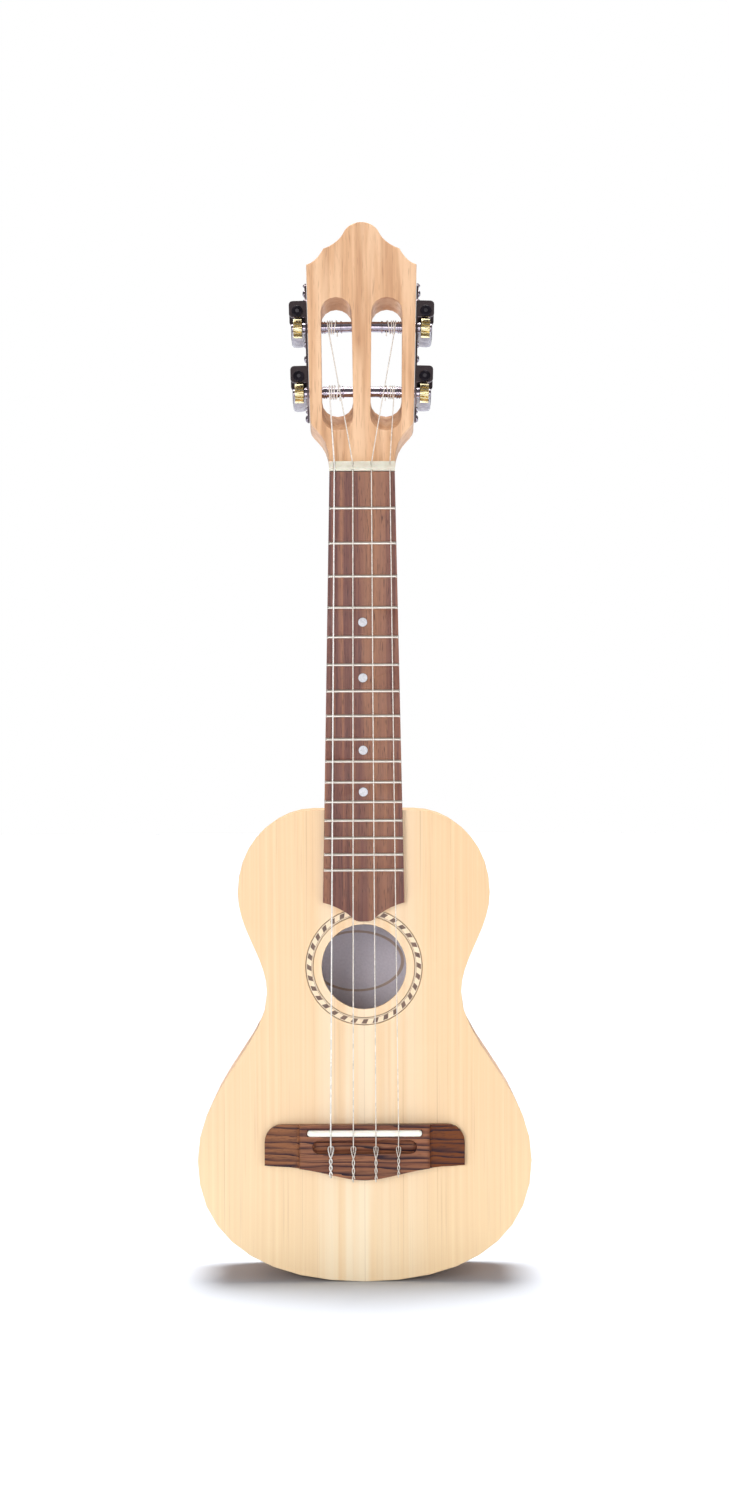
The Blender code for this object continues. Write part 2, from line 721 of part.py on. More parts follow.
def neck_ring(z, half, depth, squareness, tilt=0.0, shift=0.0):
    """A flat-fronted neck section. A tilted one lies in the plane where the head begins."""
    ring = []
    for i in range(NECK_SECTION_STEPS + 1):
        turn = math.pi * i / NECK_SECTION_STEPS
        across = math.copysign(abs(math.cos(turn)) ** (2 / squareness), math.cos(turn))
        behind = depth * math.sin(turn) ** (2 / squareness) if 0 < i < NECK_SECTION_STEPS else 0.0
        ring.append((half * across, FACE_Y + behind, z - behind * math.tan(tilt) - shift))
    return ring


def make_neck():
    """The neck from its heel to the head joint, with the tenon that holds it in the body."""
    foot = BODY_LENGTH + SEAT_GAP
    heel_depth = NECK_END_DEPTH - HEEL_SHORT_OF_BACK
    slope = (NECK_DEPTH_AT_NUT - NECK_DEPTH_AT_HEEL) / (NUT_FRONT_Z - foot - HEEL_LENGTH)
    rings = []
    for share in HEEL_STATIONS:
        z = foot + HEEL_LENGTH * (1 - share)
        depth = NECK_DEPTH_AT_HEEL + (heel_depth - NECK_DEPTH_AT_HEEL) * (1 - math.sqrt(1 - share**2))
        squareness = SHAFT_SQUARENESS + (HEEL_SQUARENESS - SHAFT_SQUARENESS) * share
        rings.append(neck_ring(z, board_half(z), depth, squareness))
    shaft_top = NUT_BACK_Z - VOLUTE_LENGTH
    for share in (0.0, 0.5, 1.0):
        z = foot + HEEL_LENGTH + share * (shaft_top - foot - HEEL_LENGTH)
        depth = NECK_DEPTH_AT_HEEL + slope * (z - foot - HEEL_LENGTH)
        rings.append(neck_ring(z, board_half(z), depth, SHAFT_SQUARENESS))
    head_depth = HEAD_THICKNESS * math.cos(HEAD_TILT)
    low_corner = HEAD_THICKNESS * math.sin(HEAD_TILT)
    for share, squareness in VOLUTE_STATIONS:
        z = shaft_top + share * (VOLUTE_LENGTH - low_corner - VOLUTE_BELOW_JOINT)
        depth = NECK_DEPTH_AT_NUT + share * share * (head_depth - NECK_DEPTH_AT_NUT)
        rings.append(neck_ring(z, board_half(z), depth, squareness))
    gap = SEAT_GAP / 2 / math.cos(HEAD_TILT)
    rings.append(neck_ring(NUT_BACK_Z, HEAD_HALF_AT_NUT, head_depth, JOINT_SQUARENESS, HEAD_TILT, gap))
    mesh = loft("neck", rings)
    shade(mesh)
    neck = add_part("neck", mesh, TAN_WOOD)
    combine(neck, add_cutter("tenon", tenon_box()), "UNION")


def head_frame():
    """The empty that carries the head: its Z runs up the head and its Y into the wood."""
    frame = bpy.data.objects.new("head_frame", None)
    GROUPS["cutters"].objects.link(frame)
    frame.location = (0.0, FACE_Y, NUT_BACK_Z)
    frame.rotation_euler = (-HEAD_TILT, 0.0, 0.0)
    return frame


def head_matrix():
    """The head frame's place in the world."""
    return Matrix.Translation((0.0, FACE_Y, NUT_BACK_Z)) @ Matrix.Rotation(-HEAD_TILT, 4, "X")


def bank_matrix(side):
    """The frame of one row of tuners in the head frame: its YZ plane is the head's side face."""
    place = Matrix.Translation((side * HEAD_LOWER_CORNER[0], 0.0, HEAD_LOWER_CORNER[1]))
    return place @ Matrix.Rotation(side * HEAD_TAPER, 4, "Y")


def sweep(start, end, pulls):
    """A curve of the head's crest, its handles given as shares of the way from its ends."""
    (x0, z0), (x1, z1) = start, end
    run, rise = x1 - x0, z1 - z0
    (out_x, out_z), (in_x, in_z) = pulls
    handles = (x0 + out_x * run, z0 + out_z * rise), (x1 - in_x * run, z1 - in_z * rise)
    return bezier((start, *handles, end), HEAD_CREST_STEPS)


def head_half():
    """Right half of the head outline, from the nut to the crest."""
    flare = HEAD_LOWER_CORNER[1]
    low_x, low_z = HEAD_LOWER_CORNER
    top_x, top_z = HEAD_UPPER_CORNER
    cusp_x, cusp_z = HEAD_CUSP
    dome_x, dome_z = HEAD_DOME
    radius = (dome_x**2 + (HEAD_TIP - dome_z) ** 2) / (2 * (HEAD_TIP - dome_z))
    start = math.asin(min(1.0, dome_x / radius))
    low_pull, high_pull = HEAD_FLARE_PULLS
    half = bezier(((HEAD_HALF_AT_NUT, SEAT_GAP / 2), (HEAD_HALF_AT_NUT, low_pull * flare),
                    (low_x, high_pull * flare), (low_x, low_z)), HEAD_FLARE_STEPS)
    half += [(low_x, low_z)]
    half += sweep((top_x, top_z), (cusp_x, cusp_z), HEAD_SHOULDER_PULLS)
    half += sweep((cusp_x, cusp_z), (dome_x, dome_z), HEAD_CREST_PULLS)
    for i in range(HEAD_CREST_STEPS):
        turn = start * (1 - i / HEAD_CREST_STEPS)
        half.append((radius * math.sin(turn), HEAD_TIP - radius + radius * math.cos(turn)))
    return half + [(0.0, HEAD_TIP)]


def slot_ring(side, low, depth):
    """The outline of a head slot at one depth."""
    radius = SLOT_WIDTH / 2
    lean = (SLOT_CENTRE_HIGH - SLOT_CENTRE_LOW) / (SLOT_END - SLOT_FRONT_START)
    ring = []
    for end, first in ((SLOT_END - radius, 0.0), (low + radius, math.pi)):
        for i in range(SLOT_ROUND_STEPS + 1):
            turn = first + math.pi * i / SLOT_ROUND_STEPS
            z = end + radius * math.sin(turn)
            x = SLOT_CENTRE_LOW + lean * (z - SLOT_FRONT_START) + radius * math.cos(turn)
            ring.append((side * x, depth, z))
    return ring


def slot_cutter(side):
    """A head slot, whose nut end slopes under the strings."""
    beyond = SLOT_CUT_BEYOND
    slope = (SLOT_BACK_START - SLOT_FRONT_START) / HEAD_THICKNESS
    front = slot_ring(side, SLOT_FRONT_START - slope * beyond, -beyond)
    back = slot_ring(side, SLOT_BACK_START + slope * beyond, HEAD_THICKNESS + beyond)
    return loft("slot", [front, back])


def along_post(number, across):
    """How far along a post's axis from the head's side face a place across the head lies."""
    side, place = TUNERS[number]
    face = HEAD_LOWER_CORNER[0] + (place - HEAD_LOWER_CORNER[1]) * math.tan(HEAD_TAPER)
    return (across - side * face) / math.cos(HEAD_TAPER)


def post_frame(number):
    """The frame of one post in the head frame: X along the post, its origin in the side face."""
    side, place = TUNERS[number]
    centre = (0.0, POST_DEPTH, (place - HEAD_LOWER_CORNER[1]) / math.cos(HEAD_TAPER))
    return bank_matrix(side) @ Matrix.Translation(centre)


def bore_line(number):
    """The line of a post's bore, from near the head's centre line to outside the head."""
    side = TUNERS[number][0]
    frame = post_frame(number)
    inner = along_post(number, side * (ROLLER_INNER_END - SEAT_GAP))
    ends = [frame @ Vector((x, 0.0, 0.0)) for x in (inner, side * BORE_BEYOND)]
    return ends[0], ends[1], ROLLER_RADIUS + RUNNING_GAP


def make_head(frame):
    """The slotted head with bearings for the four rollers."""
    mesh = plate("headstock", [mirrored(head_half())], 0.0, HEAD_THICKNESS)
    head = add_part("headstock", mesh, TAN_WOOD, frame)
    soften(head, HEAD_EDGE_ROUND, degrees=70.0)
    for side, name in ((1, "right_slot"), (-1, "left_slot")):
        combine(head, add_cutter(name, slot_cutter(side), frame))
    lines = [bore_line(number) for number in TUNERS]
    combine(head, add_cutter("post_bores", rods("post_bores", lines, 14), frame))


def board_half_outline():
    """Right half of the fingerboard's outline, from its pointed end to the nut."""
    top = NUT_FRONT_Z - SEAT_GAP
    nose_x, nose_z = BOARD_NOSE_HALF, BOARD_TIP_Z + BOARD_NOSE_RISE
    side_x, side_z = board_half(BOARD_SIDE_END_Z), BOARD_SIDE_END_Z
    rise = side_z - nose_z
    reach = side_x - nose_x
    half = bezier(((0.0, BOARD_TIP_Z), (0.55 * nose_x, BOARD_TIP_Z),
                   (nose_x - 0.125 * reach, nose_z - 0.3 * rise), (nose_x, nose_z)), BOARD_NOSE_STEPS)
    half += bezier(((nose_x, nose_z), (nose_x + 0.16 * reach, nose_z + 0.32 * rise),
                    (side_x - 0.4 * reach, side_z - 0.18 * rise), (side_x, side_z)), BOARD_FLANK_STEPS)
    return half + [(side_x, side_z), (board_half(top), top)]


def fret_slots():
    """The slots for the frets' tangs, all in one cutter."""
    shape = bmesh.new()
    half = BOARD_WIDTH_AT_END
    depth = FRET_TANG_DEPTH + SEAT_GAP
    beyond = CUT_BEYOND
    for number in range(1, FRET_COUNT + 1):
        size = (2 * half, depth + beyond, FRET_TANG_WIDTH + 2 * INLAY_GAP)
        centre = (0.0, height(BOARD_TOP - depth / 2 + beyond / 2), fret_z(number))
        place = Matrix.Translation(centre) @ Matrix.Diagonal((*size, 1.0))
        bmesh.ops.create_cube(shape, size=1.0, matrix=place)
    return mesh_from("fret_slots", shape)


def dot_z(number):
    """A dot's height, midway between its fret and the one before."""
    return (fret_z(number) + fret_z(number - 1)) / 2


def make_fingerboard():
    """The fingerboard with its fret slots and dot sockets, and the dots."""
    mesh = plate("fingerboard", [mirrored(board_half_outline())], height(BOARD_TOP), height(SEAT_GAP))
    board = add_part("fingerboard", mesh, ROSEWOOD)
    combine(board, add_cutter("fret_slots", fret_slots()))
    floor = BOARD_TOP - DOT_DEPTH - SEAT_GAP
    lines = []
    for number in DOT_FRETS:
        place = dot_z(number)
        ends = ((0.0, height(floor), place), (0.0, height(BOARD_TOP + CUT_BEYOND), place))
        lines.append((*ends, DOT_DIAMETER / 2 + INLAY_GAP))
    combine(board, add_cutter("dot_sockets", rods("dot_sockets", lines, DOT_STEPS)))
    for number in DOT_FRETS:
        radius = DOT_DIAMETER / 2
        line = [(0.0, 0.0), (radius, 0.0), (radius, -DOT_DEPTH), (0.0, -DOT_DEPTH)]
        dot = add_part(f"dot_{number:02d}", profile("dot", line), PEARL)
        turned(dot, DOT_STEPS)
        dot.location = (0.0, height(BOARD_TOP), dot_z(number))
        dot.rotation_euler = (math.pi / 2, 0.0, 0.0)


def fret_section(x, crown):
    """A fret's section at one place, its crown as high and wide as the share given."""
    half = FRET_CROWN_WIDTH / 2
    tang = FRET_TANG_WIDTH / 2
    line = [(-tang, -FRET_TANG_DEPTH), (-tang, INLAY_GAP), (-half, INLAY_GAP)]
    for turn in (0.25, 0.5, 0.75):
        angle = math.pi * turn
        line.append((-half * math.cos(angle), INLAY_GAP + crown * FRET_CROWN_HEIGHT * math.sin(angle)))
    line += [(half, INLAY_GAP), (tang, INLAY_GAP), (tang, -FRET_TANG_DEPTH)]
    return [(x, height(BOARD_TOP + rise), z) for z, rise in line]


def make_frets():
    """The frets, each a crowned wire with a tang and bevelled ends."""
    for number in range(1, FRET_COUNT + 1):
        z = fret_z(number)
        half = board_half(z) - FRET_INSET
        inner = half - FRET_END_BEVEL
        stations = ((-half, FRET_END_CROWN), (-inner, 1.0), (inner, 1.0), (half, FRET_END_CROWN))
        rings = [fret_section(x, crown) for x, crown in stations]
        name = f"fret_{number:02d}"
        mesh = loft(name, rings)
        mesh.transform(Matrix.Translation((0.0, 0.0, z)))
        shade(mesh, 50.0)
        add_part(name, mesh, NICKEL)


def string_radius(number):
    """Half a string's thickness."""
    return STRING_DIAMETERS[number] / 2


def nut_points(number):
    """A string's way over the nut, front edge first."""
    x = string_place(number, NUT_SPACING)
    over = STRING_OVER_NUT + string_radius(number)
    drop = STRING_DROP_AT_NUT
    return [
        Vector((x, height(over), NUT_FRONT_Z)),
        Vector((x, height(over - 0.25 * drop), NUT_FRONT_Z + NUT_THICKNESS / 2)),
        Vector((x, height(over - drop), NUT_BACK_Z)),
    ]


def make_nut():
    """The nut with a notch for each string."""
    half = BOARD_WIDTH_AT_NUT / 2 + NUT_OVERHANG
    line = (
        (SEAT_GAP, NUT_FRONT_Z), (NUT_HEIGHT - NUT_EDGE_DROP, NUT_FRONT_Z), (NUT_HEIGHT, NUT_FRONT_Z + NUT_EDGE_RUN),
        (NUT_HEIGHT, NUT_FRONT_Z + NUT_FLAT_END), (NUT_BACK_HEIGHT, NUT_BACK_Z), (SEAT_GAP, NUT_BACK_Z),
    )
    rings = [[(x, height(rise), z) for rise, z in line] for x in (-half, half)]
    nut = add_part("nut", loft("nut", rings), BONE)
    for number in STRING_DIAMETERS:
        points = nut_points(number)
        first = points[0] + (points[0] - points[1]).normalized() * 2 * CUT_BEYOND
        last = points[2] + (leave_point(number) - points[2]).normalized() * 2 * CUT_BEYOND
        curve = tube("notch", [first, *points, last], string_radius(number) + NOTCH_CLEAR, STRING_SIDES)
        combine(nut, add_cutter(f"nut_notch_{number}", solid_from_curve(f"nut_notch_{number}", curve)))


def solid_from_curve(name, curve):
    """The closed mesh of a tube, its end caps welded on."""
    guide = bpy.data.objects.new(name, curve)
    GROUPS["cutters"].objects.link(guide)
    graph = bpy.context.evaluated_depsgraph_get()
    mesh = bpy.data.meshes.new_from_object(guide.evaluated_get(graph))
    bpy.data.objects.remove(guide)
    shape = bmesh.new()
    shape.from_mesh(mesh)
    bmesh.ops.remove_doubles(shape, verts=shape.verts, dist=1e-6)
    return mesh_from(name, shape)


def bridge_top():
    """Height in Z of the bridge's upper edge."""
    return SADDLE_Z + BRIDGE_ABOVE_SADDLE


def bridge_belly():
    """The bridge's lower edge, from the centre out to the wing."""
    low = bridge_top() - BRIDGE_BELLY_LENGTH
    wing = bridge_top() - BRIDGE_WING_LENGTH
    near, far = (pull * BRIDGE_BELLY_HALF for pull in BRIDGE_BELLY_PULLS)
    return ((0.0, low), (near, low), (far, wing), (BRIDGE_BELLY_HALF, wing))


def bridge_half():
    """Right half of the bridge's outline, from its lower edge's centre to its upper edge's."""
    top = bridge_top()
    corner = BRIDGE_CORNER_RADIUS
    half = bezier(bridge_belly(), OUTLINE_STEPS)
    wing = top - BRIDGE_WING_LENGTH
    half += [(BRIDGE_BELLY_HALF, wing), (BRIDGE_HALF, wing + BRIDGE_WING_RISE)]
    for i in range(CORNER_STEPS + 1):
        turn = math.pi / 2 * i / CORNER_STEPS
        half.append((BRIDGE_HALF - corner + corner * math.cos(turn), top - corner + corner * math.sin(turn)))
    return half


def bridge_rear(x):
    """Height in Z of the bridge's lower edge at a place across it."""
    line = bezier(bridge_belly(), OUTLINE_STEPS)
    for (x0, z0), (x1, z1) in zip(line, line[1:]):
        if x0 <= abs(x) <= x1:
            return z0 + (z1 - z0) * (abs(x) - x0) / (x1 - x0)
    return line[-1][1]


def wing_cutter(side):
    """What is taken off a wing so that it dips and thins towards its tip."""
    inner, tip = BRIDGE_BLOCK_HALF, BRIDGE_HALF + CUT_BEYOND
    above = BRIDGE_HEIGHT + CUT_BEYOND
    level = (inner + WING_DIP_RUN, WING_DIP_HEIGHT)
    turn_in = (inner + WING_DIP_RUN / 4, WING_DIP_HEIGHT + (WING_INNER_HEIGHT - WING_DIP_HEIGHT) / 3)
    dip = bezier(((inner, above), (inner, WING_INNER_HEIGHT), turn_in, level), 4)
    dip += [level, (tip, WING_TIP_HEIGHT), (tip, above)]
    ends = (bridge_top() + CUT_BEYOND, bridge_top() - BRIDGE_BELLY_LENGTH - CUT_BEYOND)
    return loft("wing", [[(side * x, height(rise), z) for x, rise in dip] for z in ends])


def channel_cutter():
    """The round-bottomed channel between the saddle and the tie block."""
    centre = SADDLE_Z - CHANNEL_BELOW_SADDLE
    rings = []
    full = CHANNEL_WIDTH / 2
    levels = [(BRIDGE_HEIGHT + CUT_BEYOND, 0.0)]
    levels += [(BRIDGE_HEIGHT - share * CHANNEL_DEPTH, shrink) for share, shrink in CHANNEL_SECTION]
    for rise, shrink in levels:
        radius = full * (1 - shrink)
        ring = []
        for first, side in ((-math.pi / 2, 1), (math.pi / 2, -1)):
            for i in range(CORNER_STEPS + 1):
                turn = first + math.pi * i / CORNER_STEPS
                x = side * (CHANNEL_HALF - full) + radius * math.cos(turn)
                ring.append((x, height(rise), centre + radius * math.sin(turn)))
        rings.append(ring)
    return loft("channel", rings)


def make_bridge():
    """The tie bridge with its lowered wings, channel, tie holes and saddle slot."""
    mesh = plate("bridge", [mirrored(bridge_half())], height(BRIDGE_HEIGHT), height(SEAT_GAP))
    bridge = add_part("bridge", mesh, DARK_ROSEWOOD)
    combine(bridge, add_cutter("right_wing", wing_cutter(1)))
    combine(bridge, add_cutter("left_wing", wing_cutter(-1)))
    combine(bridge, add_cutter("channel", channel_cutter()))
    half, thick = SADDLE_LENGTH / 2 + INLAY_GAP, SADDLE_THICKNESS / 2 + INLAY_GAP
    low = (-half, height(BRIDGE_HEIGHT + CUT_BEYOND), SADDLE_Z - thick)
    high = (half, height(SADDLE_SEAT - SEAT_GAP), SADDLE_Z + thick)
    combine(bridge, add_cutter("saddle_slot", block("saddle_slot", low, high)))
    lines = []
    for number in STRING_DIAMETERS:
        x = string_place(number, SADDLE_SPACING)
        start = (x, height(TIE_HOLE_HEIGHT), bridge_rear(x) - TIE_HOLE_BEYOND)
        end = (x, height(TIE_HOLE_HEIGHT), SADDLE_Z - CHANNEL_BELOW_SADDLE)
        lines.append((start, end, TIE_HOLE_RADIUS))
    combine(bridge, add_cutter("tie_holes", rods("tie_holes", lines, 10)))


def make_saddle():
    """The bone saddle, rounded where the strings cross it."""
    half, thick = SADDLE_LENGTH / 2, SADDLE_THICKNESS / 2
    shoulder = SADDLE_TOP - SADDLE_SHOULDER
    crown = SADDLE_TOP - SADDLE_CROWN
    line = (
        (SADDLE_SEAT, -thick), (shoulder, -thick), (crown, -0.5 * thick), (SADDLE_TOP, 0.0),
        (crown, 0.5 * thick), (shoulder, thick), (SADDLE_SEAT, thick),
    )
    mesh = loft("saddle", [[(x, height(rise), SADDLE_Z + z) for rise, z in line] for x in (-half, half)])
    saddle = add_part("saddle", mesh, BONE)
    soften(saddle, SADDLE_EDGE_ROUND)


def tuner_frame(name, number, frame, rise=0.0, out=0.0):
    """An empty on a tuner's axis, turned like the head's side face."""
    side = TUNERS[number][0]
    empty = bpy.data.objects.new(name, None)
    GROUPS["cutters"].objects.link(empty)
    empty.parent = frame
    empty.matrix_local = post_frame(number) @ Matrix.Translation((side * out, 0.0, rise))
    return empty


def ear_outline():
    """An ear seen along the worm, from the plate outwards: (reach, rise from the worm's axis)."""
    low, high, reach = -EAR_BELOW_WORM, EAR_ABOVE_WORM, EAR_REACH
    line = [(PLATE_THICKNESS * 0.5, low)]
    for centre, first in ((low + EAR_ROUND, -math.pi / 2), (high - EAR_ROUND, 0.0)):
        for i in range(EAR_ROUND_STEPS + 1):
            turn = first + math.pi / 2 * i / EAR_ROUND_STEPS
            line.append((reach - EAR_ROUND + EAR_ROUND * math.cos(turn), centre + EAR_ROUND * math.sin(turn)))
    return line + [(PLATE_THICKNESS * 0.5, high)]


def ear_depths():
    """The front and rear faces of the two ears, from the worm's middle."""
    half = WORM_LENGTH / 2
    return ((-half - EAR_THICKNESS, -half), (half, half + EAR_THICKNESS))


def plate_outline():
    """The tuner plate seen from the side: (depth from the posts, height), with round ends and waists."""
    low = LOWER_POST - HEAD_LOWER_CORNER[1]
    high = UPPER_POST - HEAD_LOWER_CORNER[1]
    middle = (low + high + WORM_RISE) / 2
    full, waist = PLATE_WIDTH / 2, PLATE_WAIST / 2
    ends = (low - PLATE_BELOW_POST, high + PLATE_ABOVE_POST)
    half = [(0.0, ends[0]), (0.55 * waist, ends[0] + 0.12 * waist), (waist, ends[0] + 0.6 * waist)]
    reach, step = PLATE_FULL_REACH, PLATE_STEP
    half += [(waist, low - reach - step), (full, low - reach), (full, low + WORM_RISE + reach)]
    half += [(waist, middle - step), (waist, middle + step)]
    half += [(full, high - reach), (full, high + WORM_RISE + reach), (waist, high + WORM_RISE + reach + step)]
    half += [(waist, ends[1] - 0.6 * waist), (0.55 * waist, ends[1] - 0.12 * waist), (0.0, ends[1])]
    return half


def make_plate(side, name, frame):
    """A tuner plate on the head's side face, with a pair of ears for each worm."""
    near, far = SEAT_GAP, SEAT_GAP + PLATE_THICKNESS
    loop = mirrored(plate_outline())
    rings = [[(side * out, POST_DEPTH + y, z) for y, z in loop] for out in (near, far)]
    part = add_part(name, loft(name, rings), DARK_STEEL, frame)
    part.matrix_local = bank_matrix(side)
    for number, (where, place) in TUNERS.items():
        if where != side:
            continue
        z = (place - HEAD_LOWER_CORNER[1]) / math.cos(HEAD_TAPER)
        worm_z = z + WORM_RISE
        post_ends = ((-side * CUT_BEYOND, POST_DEPTH, z), (side * PLATE_HOLE_REACH, POST_DEPTH, z))
        holes = [(*post_ends, ROLLER_RADIUS + RUNNING_GAP)]
        for ear, (front, back) in enumerate(ear_depths()):
            outline = [(side * (SEAT_GAP + reach), worm_z + rise) for reach, rise in ear_outline()]
            ring_pair = [[(x, POST_DEPTH + depth, zz) for x, zz in outline] for depth in (front, back)]
            joined = add_cutter(f"ear_{number}_{ear}", loft("ear", ring_pair), part)
            combine(part, joined, "UNION")
            start = (side * WORM_OFFSET, POST_DEPTH + front - CUT_BEYOND, worm_z)
            end = (side * WORM_OFFSET, POST_DEPTH + back + CUT_BEYOND, worm_z)
            holes.append((start, end, JOURNAL_RADIUS + RUNNING_GAP))
        combine(part, add_cutter(f"plate_holes_{number}", rods("plate_holes", holes, 12), part))


def make_roller(number, frame):
    """A string roller: a cross hole for the string and a thinner end that carries the gear."""
    side = TUNERS[number][0]
    shoulder = WORM_OFFSET - GEAR_WIDTH / 2 - SEAT_GAP
    inner = side * along_post(number, side * ROLLER_INNER_END)
    end = WORM_OFFSET + GEAR_WIDTH / 2 + SEAT_GAP
    line = [
        (0.0, end), (ROLLER_NECK_RADIUS, end), (ROLLER_NECK_RADIUS, shoulder), (ROLLER_RADIUS, shoulder),
        (ROLLER_RADIUS, inner), (0.0, inner),
    ]
    empty = tuner_frame(f"tuner_{number}_roller_axis", number, frame)
    roller = add_part(f"tuner_{number}_roller", profile("roller", line), NICKEL, empty)
    roller.rotation_euler = (0.0, side * math.pi / 2, 0.0)
    turned(roller, ROLLER_STEPS)
    x = along_post(number, hole_place(number))
    turn = hole_turn(number)
    reach = 2 * ROLLER_RADIUS
    ends = [Vector((x, -sign * reach * math.cos(turn), sign * reach * math.sin(turn))) for sign in (-1, 1)]
    mesh = rods("string_hole", [(*ends, string_radius(number) + STRING_HOLE_CLEAR)], 10)
    combine(roller, add_cutter(f"string_hole_{number}", mesh, empty))


def gear_ring(x):
    """The worm wheel's outline at one place along its axis."""
    step = 2 * math.pi / GEAR_TEETH
    tip = GEAR_PITCH_RADIUS + GEAR_ADDENDUM
    root = GEAR_PITCH_RADIUS - GEAR_DEDENDUM
    lead = WORM_PITCH / (2 * math.pi * WORM_PITCH_RADIUS)
    turn = -lead * x / GEAR_PITCH_RADIUS
    half = TOOTH_SHARE / 2
    foot, crest = half + TOOTH_ROOT_FLARE, half - TOOTH_TIP_TAPER
    ring = []
    for tooth in range(GEAR_TEETH):
        middle = (tooth + 0.5) * step + turn
        for radius, share in ((root, -foot), (tip, -crest), (tip, crest), (root, foot)):
            angle = middle + share * step
            ring.append((x, radius * math.sin(angle), radius * math.cos(angle)))
    return ring


def make_gear(number, frame):
    """The brass worm wheel on the roller's end, its teeth slanted like the worm's thread."""
    side = TUNERS[number][0]
    empty = tuner_frame(f"tuner_{number}_gear_axis", number, frame, 0.0, WORM_OFFSET)
    half = GEAR_WIDTH / 2
    mesh = loft("gear", [gear_ring(x) for x in (-half, half)])
    gear = add_part(f"tuner_{number}_gear", mesh, BRASS, empty)
    ends = ((-GEAR_WIDTH, 0.0, 0.0), (GEAR_WIDTH, 0.0, 0.0))
    bore = add_cutter(f"gear_bore_{number}", rods("gear_bore", [(*ends, ROLLER_NECK_RADIUS + SEAT_GAP)], 12), empty)
    combine(gear, bore)


def thread_rings():
    """The sections of the worm's thread, a tapered rib that climbs a right-hand helix."""
    steps = WORM_STEPS
    low, high = WORM_CORE_RADIUS - THREAD_ROOT_SINK, WORM_TIP_RADIUS
    flank = THREAD_FLANK * WORM_PITCH / (WORM_TIP_RADIUS - WORM_PITCH_RADIUS)
    rings = []
    count = round(WORM_TURNS * steps)
    for i in range(count + 1):
        turn = 2 * math.pi * (i / steps - WORM_TURNS / 2)
        y = WORM_PITCH * turn / (2 * math.pi)
        ring = []
        for radius, sign in ((low, -1), (high, -1), (high, 1), (low, 1)):
            half = (THREAD_SHARE * WORM_PITCH + flank * (WORM_PITCH_RADIUS - radius)) / 2
            ring.append((-radius * math.sin(turn), y + sign * half, -radius * math.cos(turn)))
        rings.append(ring)
    return rings


def make_worm(number, frame):
    """The worm with its journals, front collar and the stem that the button sits on."""
    empty = tuner_frame(f"tuner_{number}_worm_axis", number, frame, WORM_RISE, WORM_OFFSET)
    half = WORM_LENGTH / 2
    ear = half + EAR_THICKNESS
    front = -ear - RUNNING_GAP - COLLAR_THICKNESS
    stem_end = BUTTON_START + BUTTON_BORE_DEPTH - SEAT_GAP
    rear = ear + RUNNING_GAP
    core = half - JOURNAL_STEP
    line = [
        (0.0, stem_end), (JOURNAL_RADIUS, stem_end), (JOURNAL_RADIUS, rear + COLLAR_THICKNESS),
        (REAR_COLLAR_RADIUS, rear + COLLAR_THICKNESS), (REAR_COLLAR_RADIUS, rear), (JOURNAL_RADIUS, rear),
        (JOURNAL_RADIUS, core), (WORM_CORE_RADIUS, core), (WORM_CORE_RADIUS, -core), (JOURNAL_RADIUS, -core),
        (JOURNAL_RADIUS, front + COLLAR_THICKNESS), (COLLAR_RADIUS, front + COLLAR_THICKNESS), (COLLAR_RADIUS, front),
        (0.0, front),
    ]
    worm = add_part(f"tuner_{number}_worm", profile("worm", line), DARK_STEEL, empty)
    worm.rotation_euler = (-math.pi / 2, 0.0, 0.0)
    turned(worm, WORM_STEPS)
    thread = add_cutter(f"worm_thread_{number}", loft("thread", thread_rings()), empty)
    combine(worm, thread, "UNION")
    return empty


def make_button(number, axis):
    """The moulded button on the worm's stem."""
    shape = bmesh.new()
    size = (BUTTON_THICKNESS, BUTTON_LENGTH, BUTTON_WIDTH)
    place = Matrix.Translation((0.0, BUTTON_START + BUTTON_LENGTH / 2, 0.0)) @ Matrix.Diagonal((*size, 1.0))
    bmesh.ops.create_cube(shape, size=1.0, matrix=place)
    for corner in shape.verts:
        if corner.co.y < BUTTON_START + BUTTON_LENGTH / 2:
            corner.co.z *= BUTTON_THROAT
            corner.co.x *= 0.5 + BUTTON_THROAT / 2
    mesh = mesh_from("button", shape)
    button = add_part(f"tuner_{number}_button", mesh, PEARL, axis)
    soften(button, BUTTON_ROUND, 2, 20.0)
    ends = ((0.0, BUTTON_START - BUTTON_CUT_BEYOND, 0.0), (0.0, BUTTON_START + BUTTON_BORE_DEPTH, 0.0))
    bore = add_cutter(f"button_bore_{number}", rods("button_bore", [(*ends, JOURNAL_RADIUS + SEAT_GAP)], 12), axis)
    combine(button, bore)


def winding_radius(number):
    """The radius at which a string's middle goes round its roller."""
    return ROLLER_RADIUS + SEAT_GAP + string_radius(number)


def leave_place(number):
    """Across position where a string leaves its winding."""
    side, place = TUNERS[number]
    return side * (LOWER_LEAVE if place == LOWER_POST else UPPER_LEAVE)


def hole_place(number):
    """Across position of the roller's cross hole, inward of the winding."""
    side = TUNERS[number][0]
    pitch = 2 * string_radius(number) + WINDING_GAP
    return leave_place(number) - side * (pitch * WINDING_TURNS + TAIL_SHIFT)


def leave_turn(number):
    """The angle round the roller, from its front, where the string meets it."""
    start = head_matrix().inverted() @ nut_points(number)[2]
    place = TUNERS[number][1]
    run = Vector((POST_DEPTH - start.y, place - start.z))
    return math.atan2(run.x, run.y) - math.asin(winding_radius(number) / run.length)


def hole_turn(number):
    """The angle of the roller's cross hole."""
    return leave_turn(number) + 2 * math.pi * STRING_HOLE_TURN


def on_roller(number, across, turn, radius):
    """World place of a point round a roller, turn being measured from its front over its top."""
    local = Vector((along_post(number, across), -radius * math.cos(turn), radius * math.sin(turn)))
    return head_matrix() @ post_frame(number) @ local


